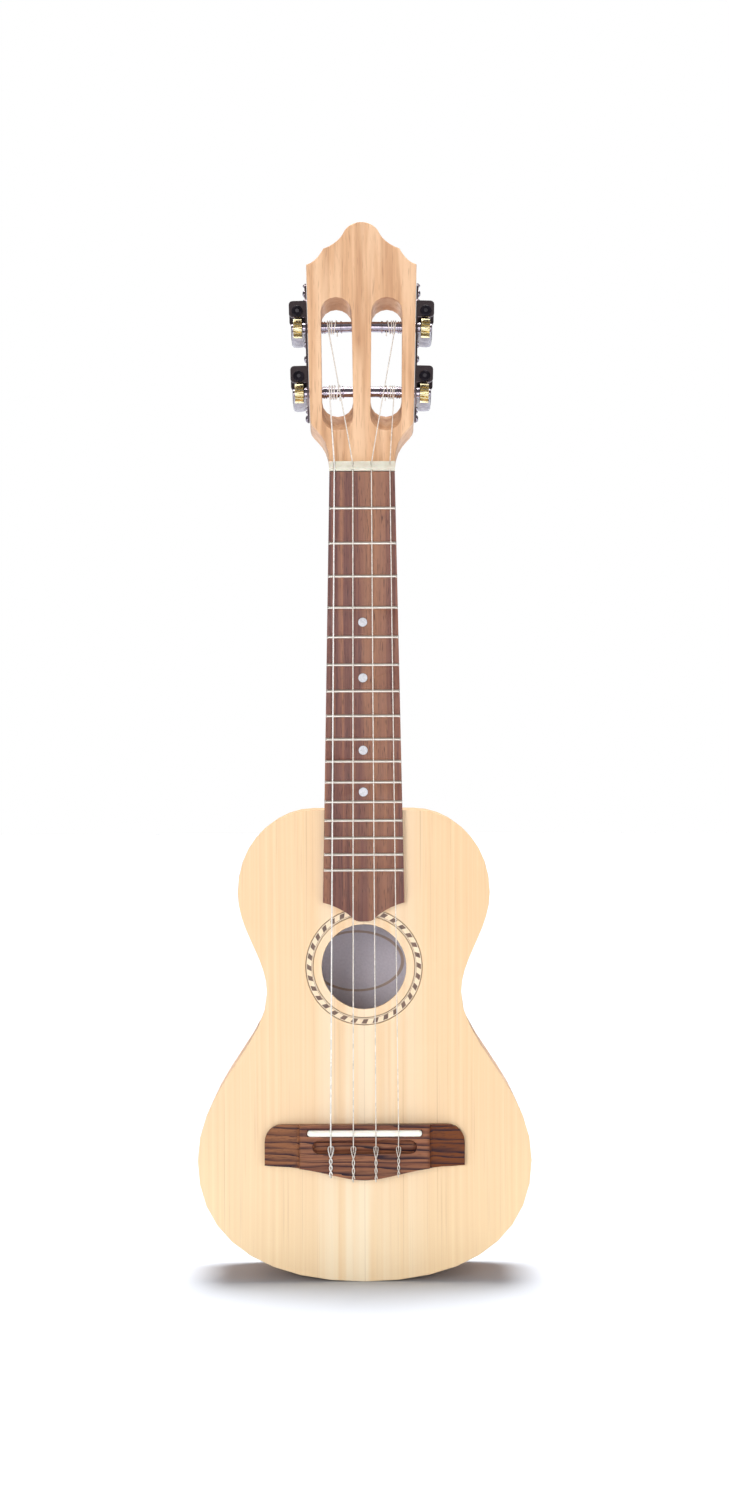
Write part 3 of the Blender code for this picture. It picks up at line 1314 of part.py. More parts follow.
def leave_point(number):
    """World place where a string leaves its winding towards the nut."""
    return on_roller(number, leave_place(number), leave_turn(number), winding_radius(number))


def winding_points(number):
    """A string's turns on its roller, from the leaving point to the tail beyond the cross hole."""
    side = TUNERS[number][0]
    first = leave_turn(number)
    radius = winding_radius(number)
    pitch = 2 * string_radius(number) + WINDING_GAP
    turns = WINDING_TURNS + STRING_HOLE_TURN
    last = first + 2 * math.pi * turns
    even = turns - TAIL_SHIFT_TURNS
    points = []
    count = round(turns * WINDING_STEPS)
    for i in range(count):
        turn = first + (last - first) * i / count
        gone = (turn - first) / (2 * math.pi)
        late = max(0.0, gone - even) / TAIL_SHIFT_TURNS
        across = leave_place(number) - side * (pitch * min(gone, even) + late * (
            pitch * (WINDING_TURNS - even) + TAIL_SHIFT))
        points.append(on_roller(number, across, turn, radius))
    hole = hole_place(number)
    bend = radius - ROLLER_RADIUS
    points.append(on_roller(number, hole, last - 0.04, radius - 0.12 * bend))
    for reach in (ROLLER_RADIUS - 0.3 * MM, 0.0, -ROLLER_RADIUS, -ROLLER_RADIUS - TAIL_STUB):
        points.append(on_roller(number, hole, last, reach))
    return points


def tie_points(number):
    """A string's way from the saddle through the tie block, back over it, and round itself."""
    x = string_place(number, SADDLE_SPACING)
    r = string_radius(number)
    wall = SADDLE_Z - CHANNEL_BELOW_SADDLE - CHANNEL_WIDTH / 2
    rear = bridge_rear(abs(x) - r) if abs(x) > r else bridge_rear(x)
    clear = r + TIE_CLEAR
    spread = r + TWIST_GAP / 2
    lift = BRIDGE_HEIGHT + SEAT_GAP + r + spread
    top = Vector((x, height(SADDLE_TOP + SEAT_GAP + r), SADDLE_Z))
    mouth = Vector((x, height(TIE_HOLE_HEIGHT), wall + 0.9 * MM))
    out = [Vector((x, height(TIE_HOLE_HEIGHT), rear - 0.5 * MM))]
    out += [Vector((x, height(TIE_HOLE_HEIGHT + TIE_REAR_DROP), rear - TIE_REAR_DROP - clear / 2))]
    out += [Vector((x, height(BRIDGE_HEIGHT - 0.3 * MM), rear - 0.6 * MM - clear))]
    there = []
    back = []
    count = round(TWIST_TURNS * TWIST_STEPS)
    low, high = rear + 0.6 * MM, wall - 0.2 * MM
    for i in range(count + 1):
        share = i / count
        turn = 2 * math.pi * TWIST_TURNS * (share - 1.0)
        z = low + (high - low) * share
        offset = Vector((spread * math.cos(turn), -spread * math.sin(turn), 0.0))
        centre = Vector((x, height(lift), z))
        there.append(centre + offset)
        back.append(centre - offset)
    run = (mouth - top).normalized()
    middle = top + (mouth - top) * ((top.z - wall - TIE_LOOP_ABOVE_WALL) / (top.z - mouth.z))
    under = Vector((0.0, 1.0, 0.0))
    under = (under - run * under.dot(run)).normalized()
    reach = 2 * r + TWIST_GAP
    loop = []
    for i in range(TIE_LOOP_STEPS + 1):
        turn = math.pi * i / TIE_LOOP_STEPS
        loop.append(middle + reach * (math.cos(turn) * Vector((1.0, 0.0, 0.0)) + math.sin(turn) * under))
    side = Vector((reach, 0.0, 0.0))
    rise = Vector((0.0, -1.3 * MM, -0.9 * MM))
    loop = [middle + side + rise] + loop + [middle - side + rise]
    return [top, top + run * SADDLE_BREAK_RUN, mouth] + out + there + loop + back[::-1]


def string_points(number):
    """The whole of a string, from the tail at its roller to the tail of its tie."""
    nut = nut_points(number)
    down = winding_points(number)[::-1]
    before_saddle = tie_points(number)[0] + Vector((0.0, -0.02 * MM, 1.5 * MM))
    return down + nut[::-1] + [before_saddle] + tie_points(number)


def least_self_gap(points, radius):
    """The smallest gap between stretches of a wire that aren't neighbours along it."""
    along = [0.0]
    for a, b in zip(points, points[1:]):
        along.append(along[-1] + (b - a).length)
    best = 1.0
    for i, a in enumerate(points):
        for j in range(i + 1, len(points)):
            if along[j] - along[i] > math.pi * 3 * radius + 1 * MM:
                best = min(best, (points[j] - a).length - 2 * radius)
    return best, along[-1]


def make_strings():
    """The four nylon strings, each one unbroken wire from its roller to its tie."""
    for number in STRING_DIAMETERS:
        points = string_points(number)
        radius = string_radius(number)
        add_part(f"string_{number}", tube(f"string_{number}", points, radius, STRING_SIDES), NYLON)
        gap, length = least_self_gap(points, radius)
        print(f"string_{number}: {length / MM:.1f} mm long, least gap to itself {gap / MM:.2f} mm")


def main():
    make_soundboard()
    make_rosette()
    make_back()
    make_ribs(*make_blocks())
    make_braces()
    make_neck()
    frame = head_frame()
    make_head(frame)
    make_fingerboard()
    make_frets()
    make_nut()
    make_bridge()
    make_saddle()
    make_plate(1, "tuner_plate_right", frame)
    make_plate(-1, "tuner_plate_left", frame)
    for number in TUNERS:
        make_roller(number, frame)
        make_gear(number, frame)
        make_button(number, make_worm(number, frame))
    make_strings()


main()
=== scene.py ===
"""Finishes, fittings and studio of the four-string folk guitar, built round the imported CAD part.

World frame as in the part: Z up along the strings, X to the viewer's right, the soundboard faces
-Y. Lengths are in metres.
"""

import json
import math

import bmesh
import bpy
from mathutils import Matrix, Vector

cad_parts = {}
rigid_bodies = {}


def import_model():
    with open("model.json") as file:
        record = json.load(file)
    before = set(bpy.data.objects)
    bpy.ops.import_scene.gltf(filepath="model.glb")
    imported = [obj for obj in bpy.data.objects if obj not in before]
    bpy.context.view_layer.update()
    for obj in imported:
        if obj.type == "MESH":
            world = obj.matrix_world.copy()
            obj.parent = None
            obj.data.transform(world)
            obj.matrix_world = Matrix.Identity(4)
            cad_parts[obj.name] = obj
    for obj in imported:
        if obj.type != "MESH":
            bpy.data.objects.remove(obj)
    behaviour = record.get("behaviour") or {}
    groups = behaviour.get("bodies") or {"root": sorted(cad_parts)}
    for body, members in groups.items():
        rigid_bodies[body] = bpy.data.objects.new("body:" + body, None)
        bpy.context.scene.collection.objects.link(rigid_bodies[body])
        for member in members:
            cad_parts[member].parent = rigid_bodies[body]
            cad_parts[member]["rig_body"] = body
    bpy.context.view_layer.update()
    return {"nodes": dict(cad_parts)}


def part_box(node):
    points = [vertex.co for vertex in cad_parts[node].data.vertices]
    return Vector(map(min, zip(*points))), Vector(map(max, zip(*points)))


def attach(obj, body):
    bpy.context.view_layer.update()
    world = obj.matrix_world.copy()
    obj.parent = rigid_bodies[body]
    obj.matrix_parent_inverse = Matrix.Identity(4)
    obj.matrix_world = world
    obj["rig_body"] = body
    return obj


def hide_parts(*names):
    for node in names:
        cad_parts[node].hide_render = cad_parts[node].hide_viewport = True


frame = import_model()
NODES = frame["nodes"]
MM = 0.001

# Places shared with the part
FACE_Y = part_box("soundboard")[0].y
NUT_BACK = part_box("nut")[1].z
SOUNDHOLE_Z = 164.6 * MM
ROSETTE_RADII = (26.7 * MM, 30.4 * MM)
TAIL_DEPTH, NECK_END_DEPTH, BODY_LENGTH = 62.0 * MM, 56.0 * MM, 246.5 * MM
BACK_THICKNESS = 2.0 * MM
WING_START, WING_FULL = 32.0 * MM, 34.5 * MM
HEAD_TILT = math.radians(14.0)
HEAD_TAPER = math.atan2(2.2, 87.7)
HEAD_LOWER_CORNER = (27.2 * MM, 23.7 * MM)
POST_DEPTH = 8.7 * MM
POSTS = {1: (1, 41.8 * MM), 2: (1, 78.6 * MM), 3: (-1, 78.6 * MM), 4: (-1, 41.8 * MM)}
WORM_RISE = 7.1 * MM
WORM_OFFSET = 5.4 * MM
WORM_HALF = 5.15 * MM
EAR_THICKNESS = 1.2 * MM
RUNNING_GAP = 0.3 * MM
PLATE_FACE = 1.3 * MM
ROLLER_RADIUS = 2.8 * MM
GEAR_FACE = WORM_OFFSET + 2.6 * MM

# The saddle's crown: its rings shrink from the full width to a narrow top
SADDLE_SHOULDER = 0.9 * MM
CROWN_POWER = 1.85
CROWN_SHARES = (1.0, 0.85, 0.65, 0.4, 0.15)
END_STEPS = 12

# Where the tuners' fittings sit: along a roller from the head's side, up a plate, and across it
COLLAR_STARTS = (-9.4 * MM, -8.2 * MM, -18.2 * MM)
SCREW_RISES = (3.6 * MM, 37.2 * MM, 74.4 * MM)
BEAD_PLACES = (
    (-2.6 * MM, 8.4 * MM), (2.6 * MM, 8.4 * MM), (-2.4 * MM, 29.6 * MM), (2.4 * MM, 29.6 * MM),
    (-2.4 * MM, 45.4 * MM), (2.4 * MM, 45.4 * MM), (-2.3 * MM, 69.4 * MM), (2.3 * MM, 69.4 * MM),
    (0.0, 78.9 * MM),
)

# Lines of the turned fittings, as (radius, height) in millimetres
COLLAR_LINE = ((-0.2, 0.0), (0.25, 0.0), (0.45, 0.2), (0.45, 0.7), (0.25, 0.9), (-0.2, 0.9))
GEAR_SCREW_LINE = ((0.0, -0.1), (2.2, -0.1), (2.2, 0.5), (1.8, 0.8), (0.0, 0.9))
WORM_CAP_LINE = (
    (0.0, 0.1), (2.95, 0.1), (2.95, 0.8), (2.6, 1.15), (1.2, 1.25), (1.0, 0.95), (0.0, 0.9),
)
SCREW_LINE = ((0.0, -0.1), (1.9, -0.1), (1.9, 0.25), (1.5, 0.8), (0.8, 1.05), (0.0, 1.1))
BEAD_LINE = ((0.0, -0.1), (0.95, -0.1), (0.9, 0.3), (0.5, 0.75), (0.0, 0.9))

# The label, and the oval line on it
LABEL_HALF = (34.0 * MM, 26.0 * MM)
LABEL_DROP = 4.0 * MM
LABEL_GAP = 0.12 * MM
LABEL_THICKNESS = 0.1 * MM
OVAL_CENTRE = (-3.8 * MM, SOUNDHOLE_Z - 1.1 * MM)
OVAL_HALF = (24.7 * MM, 16.0 * MM)

# Rounded edges
EDGE_SEGMENTS = 2
EDGE_DEGREES = 40.0

# Camera and light
CAMERA_PLACE = (0.0007, FACE_Y - 1.5, 0.2778)
CAMERA_ROLL = math.radians(0.22)
FRAME_HEIGHT = 0.7839
SENSOR = 36.0
LAMP_AIM = (0.0, 0.0, 0.20)

ZERO = (0.0, 0.0, 0.0)
ONES = (1.0, 1.0, 1.0)


# Shader building

def place(tree, kind, inputs=None, **settings):
    """Adds a shader node with its settings and its inputs: values, or other nodes' outputs."""
    made = tree.nodes.new("ShaderNode" + kind)
    for key, value in settings.items():
        setattr(made, key, value)
    for key, value in (inputs or {}).items():
        if isinstance(value, bpy.types.NodeSocket):
            tree.links.new(value, made.inputs[key])
        else:
            made.inputs[key].default_value = value
    return made


def maths(tree, operation, first, second=0.0):
    """One sum on two values."""
    return place(tree, "Math", {0: first, 1: second}, operation=operation).outputs[0]


def parts(tree, vector):
    """A vector's X, Y and Z."""
    return place(tree, "SeparateXYZ", {0: vector}).outputs


def hypotenuse(tree, first, second):
    """The length of two values at a right angle."""
    squares = [maths(tree, "MULTIPLY", value, value) for value in (first, second)]
    return maths(tree, "SQRT", maths(tree, "ADD", *squares))


def join(tree, output, node, socket):
    """Feeds one of a node's sockets."""
    tree.links.new(output, node.inputs[socket])


def ramp(tree, factor, *stops):
    """A colour ramp of (place, colour) stops."""
    made = place(tree, "ValToRGB", {"Fac": factor})
    band = made.color_ramp
    while len(band.elements) < len(stops):
        band.elements.new(0.5)
    for element, (at, colour) in zip(band.elements, stops):
        element.position = at
        element.color = (*colour, 1.0)
    return made.outputs["Color"]


def window(tree, value, low, high, start=0.0, end=1.0):
    """A value's range laid on another range, clamped."""
    inputs = {"Value": value, "From Min": low, "From Max": high, "To Min": start, "To Max": end}
    return place(tree, "MapRange", inputs).outputs["Result"]


def rgba(colour):
    """A plain colour with its alpha, or a node's output as it is."""
    return colour if isinstance(colour, bpy.types.NodeSocket) else (*colour, 1.0)


def blend_colours(tree, factor, first, second, mode="MIX"):
    """Two colours mixed by a factor."""
    inputs = {0: factor, 6: rgba(first), 7: rgba(second)}
    return place(tree, "Mix", inputs, data_type="RGBA", blend_type=mode).outputs[2]


def noise(tree, vector, scale, detail=2.0, roughness=0.5, distortion=0.0):
    """Cloudy noise, its clouds about that many per metre."""
    return place(tree, "TexNoise", {
        "Vector": vector, "Scale": scale, "Detail": detail, "Roughness": roughness,
        "Distortion": distortion,
    }).outputs["Fac"]


def streaks(tree, vector, across, along, detail=3.0):
    """Noise drawn out along Z, its streaks that many per metre across and along."""
    stretched = place(tree, "Mapping", {"Vector": vector, "Scale": (across, across, along)})
    return noise(tree, stretched.outputs[0], 1.0, detail, 0.6)


def new_group(name, inputs, outputs):
    """An empty node group with named sockets, and its two end nodes."""
    tree = bpy.data.node_groups.new(name, "ShaderNodeTree")
    for label, kind, value in inputs:
        socket = tree.interface.new_socket(label, in_out="INPUT", socket_type=kind)
        if value is not None:
            socket.default_value = value
    for label, kind in outputs:
        tree.interface.new_socket(label, in_out="OUTPUT", socket_type=kind)
    return tree, tree.nodes.new("NodeGroupInput"), tree.nodes.new("NodeGroupOutput")


def grain_group():
    """Growth rings, streaks and pores of a board whose grain runs along Z."""
    tree, given, result = new_group("wood_grain", (
        ("Vector", "NodeSocketVector", None),
        ("Rings", "NodeSocketFloat", 500.0),
        ("Wander", "NodeSocketFloat", 0.002),
        ("Streaks", "NodeSocketFloat", 1200.0),
        ("Pores", "NodeSocketFloat", 2600.0),
    ), (
        ("Ring", "NodeSocketFloat"), ("Streak", "NodeSocketFloat"),
        ("Pore", "NodeSocketFloat"), ("Cloud", "NodeSocketFloat"),
    ))
    vector = given.outputs["Vector"]
    sway = streaks(tree, vector, 28.0, 5.0, 2.0)
    apart = parts(tree, vector)
    across = maths(tree, "ADD", apart["X"], maths(tree, "MULTIPLY", apart["Y"], 0.55))
    moved = maths(tree, "MULTIPLY", maths(tree, "SUBTRACT", sway, 0.5), given.outputs["Wander"])
    swayed = maths(tree, "ADD", across, moved)
    rings = place(tree, "TexNoise", {
        "W": maths(tree, "MULTIPLY", swayed, given.outputs["Rings"]),
        "Scale": 1.0, "Detail": 2.0, "Roughness": 0.55,
    }, noise_dimensions="1D")

    def drawn_out(along, scale):
        inputs = {0: vector, 1: (1.0, 1.0, along)}
        squeezed = place(tree, "VectorMath", inputs, operation="MULTIPLY").outputs[0]
        inputs = {0: squeezed, "Scale": given.outputs[scale]}
        return place(tree, "VectorMath", inputs, operation="SCALE").outputs[0]

    streak = noise(tree, drawn_out(0.012, "Streaks"), 1.0, 3.0, 0.65)
    pore = window(tree, noise(tree, drawn_out(0.07, "Pores"), 1.0, 1.0), 0.60, 0.72)
    cloud = streaks(tree, vector, 45.0, 9.0, 2.0)
    join(tree, rings.outputs["Fac"], result, "Ring")
    join(tree, streak, result, "Streak")
    join(tree, pore, result, "Pore")
    join(tree, cloud, result, "Cloud")
    return tree


def sheen_group():
    """Uneven gloss from handling and polishing: a roughness between two values."""
    tree, given, result = new_group("handled_gloss", (
        ("Vector", "NodeSocketVector", None),
        ("Scale", "NodeSocketFloat", 60.0),
        ("Low", "NodeSocketFloat", 0.3),
        ("High", "NodeSocketFloat", 0.45),
    ), (("Roughness", "NodeSocketFloat"), ("Mottle", "NodeSocketFloat")))
    cloud = noise(tree, given.outputs["Vector"], given.outputs["Scale"], 4.0, 0.6)
    gloss = window(tree, cloud, 0.3, 0.7, given.outputs["Low"], given.outputs["High"])
    join(tree, gloss, result, "Roughness")
    join(tree, cloud, result, "Mottle")
    return tree


GRAIN = grain_group()
SHEEN = sheen_group()


def use(tree, group, inputs):
    """Places one of the shared groups."""
    return place(tree, "Group", inputs, node_tree=group).outputs


def board_grain(tree, vector, rings, wander, lines, pores):
    """The shared grain with its numbers for one kind of wood."""
    inputs = {"Vector": vector, "Rings": rings, "Wander": wander, "Streaks": lines, "Pores": pores}
    return use(tree, GRAIN, inputs)


def polish(tree, shader, vector, scale, low, high):
    """Gives the shader the shared uneven gloss, and returns its mottle."""
    gloss = use(tree, SHEEN, {"Vector": vector, "Scale": scale, "Low": low, "High": high})
    join(tree, gloss["Roughness"], shader, "Roughness")
    return gloss["Mottle"]


def new_finish(name, **plain):
    """A material with its tree, its shader and the piece's own coordinates."""
    material = bpy.data.materials.new(name)
    material.use_nodes = True
    tree = material.node_tree
    shader = tree.nodes["Principled BSDF"]
    for key, value in plain.items():
        shader.inputs[key.replace("_", " ")].default_value = value
    coordinates = place(tree, "TexCoord").outputs["Object"]
    return material, tree, shader, coordinates


def turned(tree, vector, degrees=ZERO, shift=ZERO, scale=ONES):
    """Coordinates scaled, turned and shifted, so that a grain follows its board."""
    turn = tuple(math.radians(a) for a in degrees)
    inputs = {"Vector": vector, "Location": shift, "Rotation": turn, "Scale": scale}
    return place(tree, "Mapping", inputs).outputs[0]


def bump(tree, shader, height, strength, distance=0.1 * MM):
    """A fine relief on the shader's normal."""
    made = place(tree, "Bump", {"Height": height, "Strength": strength, "Distance": distance})
    join(tree, made.outputs[0], shader, "Normal")


def spruce():
    """The soundboard: two matched halves of pale straight-grained wood, lighter near the seam."""
    material, tree, shader, vector = new_finish(
        "soundboard_wood", Coat_Weight=0.25, Coat_Roughness=0.3)
    apart = parts(tree, vector)
    across = maths(tree, "ABSOLUTE", apart["X"])
    mirrored = {"X": across, "Y": apart["Y"], "Z": apart["Z"]}
    matched = place(tree, "CombineXYZ", mirrored).outputs[0]
    grain = board_grain(tree, matched, 420.0, 0.0035, 900.0, 2200.0)
    base = ramp(tree, grain["Ring"], (0.30, (0.882, 0.637, 0.359)), (0.52, (0.903, 0.666, 0.386)),
                (0.75, (0.924, 0.70, 0.42)))
    line = maths(tree, "MULTIPLY", window(tree, grain["Streak"], 0.58, 0.72), 0.5)
    lined = blend_colours(tree, line, base, (0.69, 0.455, 0.25))
    thread = window(tree, streaks(tree, vector, 620.0, 3.0, 1.0), 0.66, 0.74, 0.0, 0.45)
    threaded = blend_colours(tree, thread, lined, (0.58, 0.37, 0.20))
    # Pale bands, only within a few centimetres of the seam
    broad = streaks(tree, vector, 130.0, 2.0, 2.0)
    near_seam = window(tree, across, 14.0 * MM, 34.0 * MM, 1.0, 0.0)
    pale = maths(tree, "MULTIPLY", near_seam, window(tree, broad, 0.40, 0.58))
    lit = blend_colours(tree, maths(tree, "MULTIPLY", pale, 0.7), threaded, (0.97, 0.84, 0.61))
    # Painted shade: a little darker and warmer towards the neck, evening out how the lamps and the
    # floor's bounce light the board; also warmer on the right half
    painted_shade_by_height = ramp(tree, window(tree, apart["Z"], 0.0, 200.0 * MM), (0.10, ONES),
                (0.45, (0.907, 0.860, 0.846)), (0.95, (0.857, 0.778, 0.728)))
    raised = blend_colours(tree, 1.0, lit, painted_shade_by_height, "MULTIPLY")
    right = window(tree, apart["X"], 15.0 * MM, 60.0 * MM)
    warm = blend_colours(tree, right, raised, (0.997, 0.975, 0.94), "MULTIPLY")
    cloud = window(tree, grain["Cloud"], 0.42, 0.62, 0.0, 0.16)
    cloudy = blend_colours(tree, cloud, warm, (0.80, 0.55, 0.32))
    seam = window(tree, across, 0.12 * MM, 0.3 * MM, 0.32, 0.0)
    join(tree, blend_colours(tree, seam, cloudy, (0.55, 0.37, 0.20)), shader, "Base Color")
    polish(tree, shader, vector, 40.0, 0.42, 0.54)
    bump(tree, shader, grain["Streak"], 0.12)
    return material


def tan_wood(name, degrees=ZERO, shift=ZERO, shade=1.0, red=1.0, scale=ONES, end=0.6):
    """The light pinkish wood of the neck, head, ribs and back, with darker pores and end grain.

    degrees, shift and scale lay the grain along the board, shade and red set its tone, and end says
    how dark the wood is where it's cut across.
    """
    material, tree, shader, raw = new_finish(name, Coat_Roughness=0.35)
    vector = turned(tree, raw, degrees, shift, scale)

    def tone(r, g, b):
        return r * shade, g * shade / red, b * shade / red ** 2

    grain = board_grain(tree, vector, 200.0, 0.0035, 700.0, 1500.0)
    base = ramp(tree, grain["Ring"],
                (0.25, tone(0.55, 0.315, 0.172)), (0.46, tone(0.66, 0.40, 0.230)),
                (0.60, tone(0.70, 0.435, 0.255)), (0.80, tone(0.76, 0.50, 0.31)))
    ribbon = window(tree, streaks(tree, vector, 230.0, 8.0, 3.0), 0.47, 0.62, 0.0, 0.8)
    striped = blend_colours(tree, ribbon, base, tone(0.52, 0.285, 0.155))
    light = window(tree, streaks(tree, vector, 130.0, 10.0, 2.0), 0.48, 0.62, 0.0, 0.7)
    lifted = blend_colours(tree, light, striped, tone(0.82, 0.57, 0.37))
    specks = maths(tree, "MULTIPLY", grain["Pore"], 0.5)
    speckled = blend_colours(tree, specks, lifted, tone(0.40, 0.21, 0.12))
    # End grain is darker and duller
    facing = turned(tree, place(tree, "TexCoord").outputs["Normal"], degrees)
    cut_across = maths(tree, "ABSOLUTE", parts(tree, facing)["Z"])
    end_grain = window(tree, cut_across, 0.55, 0.95, 0.0, end)
    done = blend_colours(tree, end_grain, speckled, tone(0.35, 0.145, 0.055))
    join(tree, done, shader, "Base Color")
    polish(tree, shader, vector, 50.0, 0.38, 0.52)
    join(tree, window(tree, cut_across, 0.4, 0.8, 0.5, 0.1), shader, "Specular IOR Level")
    join(tree, window(tree, cut_across, 0.4, 0.8, 0.2, 0.0), shader, "Coat Weight")
    bump(tree, shader, maths(tree, "SUBTRACT", grain["Streak"], grain["Pore"]), 0.16)
    return material


def rosewood():
    """The fingerboard: red-brown with darker and lighter streaks and open pores."""
    material, tree, shader, vector = new_finish("fingerboard_rosewood", Specular_IOR_Level=0.35)
    up = parts(tree, vector)["Z"]
    grain = board_grain(tree, vector, 340.0, 0.004, 1500.0, 2600.0)
    base = ramp(tree, grain["Ring"], (0.28, (0.105, 0.038, 0.031)), (0.47, (0.18, 0.068, 0.050)),
                (0.60, (0.22, 0.085, 0.056)), (0.78, (0.30, 0.126, 0.067)))
    streak = window(tree, grain["Streak"], 0.50, 0.66, 0.0, 0.65)
    dark = blend_colours(tree, streak, base, (0.085, 0.033, 0.032))
    patch = window(tree, streaks(tree, vector, 260.0, 7.0, 2.0), 0.50, 0.64)
    warm = maths(tree, "MULTIPLY", patch, window(tree, up, 190.0 * MM, 330.0 * MM, 0.6, 0.35))
    warmed = blend_colours(tree, warm, dark, (0.35, 0.155, 0.075))
    column = window(tree, streaks(tree, vector, 95.0, 1.5, 1.0), 0.52, 0.64, 0.0, 0.38)
    columned = blend_colours(tree, column, warmed, (0.40, 0.19, 0.095))
    pores = maths(tree, "MULTIPLY", grain["Pore"], 0.7)
    pored = blend_colours(tree, pores, columned, (0.05, 0.02, 0.018))
    # The end over the soundboard is deeper in tone
    deep = window(tree, up, 200.0 * MM, 340.0 * MM, 1.0, 0.0)
    shaded = blend_colours(tree, deep, pored, (0.84, 0.78, 0.76), "MULTIPLY")
    join(tree, shaded, shader, "Base Color")
    polish(tree, shader, vector, 90.0, 0.40, 0.58)
    open_pores = maths(tree, "MULTIPLY", grain["Pore"], 1.5)
    bump(tree, shader, maths(tree, "SUBTRACT", grain["Streak"], open_pores), 0.35)
    return material


def bridge_rosewood():
    """The bridge: brown with dark lines across it, with painted shade: its right wing painted
    darker than its left.
    """
    material, tree, shader, raw = new_finish("bridge_rosewood", Specular_IOR_Level=0.15)
    vector = turned(tree, raw, (0.0, 91.5, 0.0), (0.37, 0.0, 0.11))
    grain = board_grain(tree, vector, 260.0, 0.006, 1300.0, 2400.0)
    apart = parts(tree, raw)
    x = apart["X"]
    # Painted light and shade: the left wing a lighter brown and the right wing a much darker one,
    # as light from the left falls on their sloping faces
    left = window(tree, x, -WING_FULL, -WING_START, 1.0, 0.0)
    right = window(tree, x, WING_START, WING_FULL)
    middle = ramp(tree, grain["Ring"], (0.36, (0.175, 0.062, 0.034)), (0.50, (0.27, 0.105, 0.052)),
                  (0.66, (0.345, 0.145, 0.070)))
    winged = blend_colours(tree, maths(tree, "MULTIPLY", left, 0.75), middle, (0.25, 0.095, 0.036))
    base = blend_colours(tree, maths(tree, "MULTIPLY", right, 0.85), winged, (0.15, 0.036, 0.004))
    # Dark lines, slightly slanted and wavy
    spacing = 3.3 * MM
    wave = maths(tree, "SUBTRACT", streaks(tree, vector, 170.0, 14.0, 2.0), 0.5)
    sway = maths(tree, "MULTIPLY", wave, 7.5 * MM)
    slant = maths(tree, "MULTIPLY", x, 0.02)
    level = maths(tree, "ADD", maths(tree, "ADD", apart["Z"], sway), slant)
    phase = maths(tree, "FRACT", maths(tree, "DIVIDE", level, spacing))
    patchy = window(tree, streaks(tree, vector, 320.0, 25.0, 2.0), 0.34, 0.54, 0.45, 1.0)
    line = maths(tree, "MULTIPLY", window(tree, phase, 0.12, 0.52, 1.0, 0.0), patchy)
    lined = blend_colours(tree, line, base, (0.022, 0.008, 0.014))
    streak = window(tree, grain["Streak"], 0.50, 0.68, 0.0, 0.55)
    fine = blend_colours(tree, streak, lined, (0.055, 0.024, 0.022))
    pores = maths(tree, "MULTIPLY", grain["Pore"], 0.5)
    join(tree, blend_colours(tree, pores, fine, (0.03, 0.014, 0.012)), shader, "Base Color")
    polish(tree, shader, vector, 70.0, 0.30, 0.44)
    bump(tree, shader, maths(tree, "SUBTRACT", grain["Streak"], grain["Pore"]), 0.25)
    return material


def inlay_ring():
    """The rosette: dark slanted blocks on cream between fine dark lines."""
    material, tree, shader, vector = new_finish(
        "rosette_inlay", Coat_Weight=0.25, Coat_Roughness=0.3)
    blocks, slant = 32, 0.36
    apart = parts(tree, vector)
    up = maths(tree, "SUBTRACT", apart["Z"], SOUNDHOLE_Z)
    share = window(tree, hypotenuse(tree, up, apart["X"]), *ROSETTE_RADII)
    angle = maths(tree, "ARCTAN2", up, apart["X"])
    count = maths(tree, "MULTIPLY", angle, blocks / (2 * math.pi))
    slanted = maths(tree, "ADD", count, maths(tree, "MULTIPLY", share, slant))
    phase = maths(tree, "FRACT", maths(tree, "ADD", slanted, 50.0))

    def between(value, low, high, edge):
        rising = window(tree, value, low, low + edge)
        return maths(tree, "MULTIPLY", rising, window(tree, value, high - edge, high, 1.0, 0.0))

    along, across = between(phase, 0.02, 0.52, 0.04), between(share, 0.21, 0.85, 0.03)
    cream = ramp(tree, streaks(tree, vector, 500.0, 60.0), (0.35, (0.79, 0.59, 0.37)),
                 (0.65, (0.84, 0.66, 0.45)))
    dark = ramp(tree, streaks(tree, vector, 900.0, 300.0), (0.3, (0.07, 0.03, 0.015)),
                (0.7, (0.17, 0.08, 0.04)))
    made = blend_colours(tree, maths(tree, "MULTIPLY", along, across), cream, dark)
    for low, high, strength in ((0.0, 0.05, 0.9), (0.14, 0.20, 0.9), (0.925, 0.985, 1.0)):
        middle, half = (low + high) / 2, (high - low) / 2
        off = maths(tree, "ABSOLUTE", maths(tree, "SUBTRACT", share, middle))
        line = window(tree, off, half * 0.7, half * 1.3, strength, 0.0)
        made = blend_colours(tree, line, made, (0.14, 0.065, 0.033))
    join(tree, made, shader, "Base Color")
    polish(tree, shader, vector, 80.0, 0.38, 0.5)
    return material


def bone(name, colour, low, high, deep):
    """Polished bone with faint pores and clouds."""
    material, tree, shader, vector = new_finish(
        name, Subsurface_Weight=0.12, Subsurface_Scale=2.0 * MM)
    cloud = noise(tree, vector, 240.0, 5.0, 0.65)
    fibre = streaks(tree, turned(tree, vector, (0.0, 90.0, 0.0)), 2200.0, 120.0)
    base = ramp(tree, cloud, (0.3, deep), (0.62, colour))
    pores = window(tree, fibre, 0.62, 0.75, 0.0, 0.25)
    marked = blend_colours(tree, pores, base, tuple(c * 0.8 for c in deep))
    join(tree, marked, shader, "Base Color")
    polish(tree, shader, vector, 150.0, low, high)
    return material


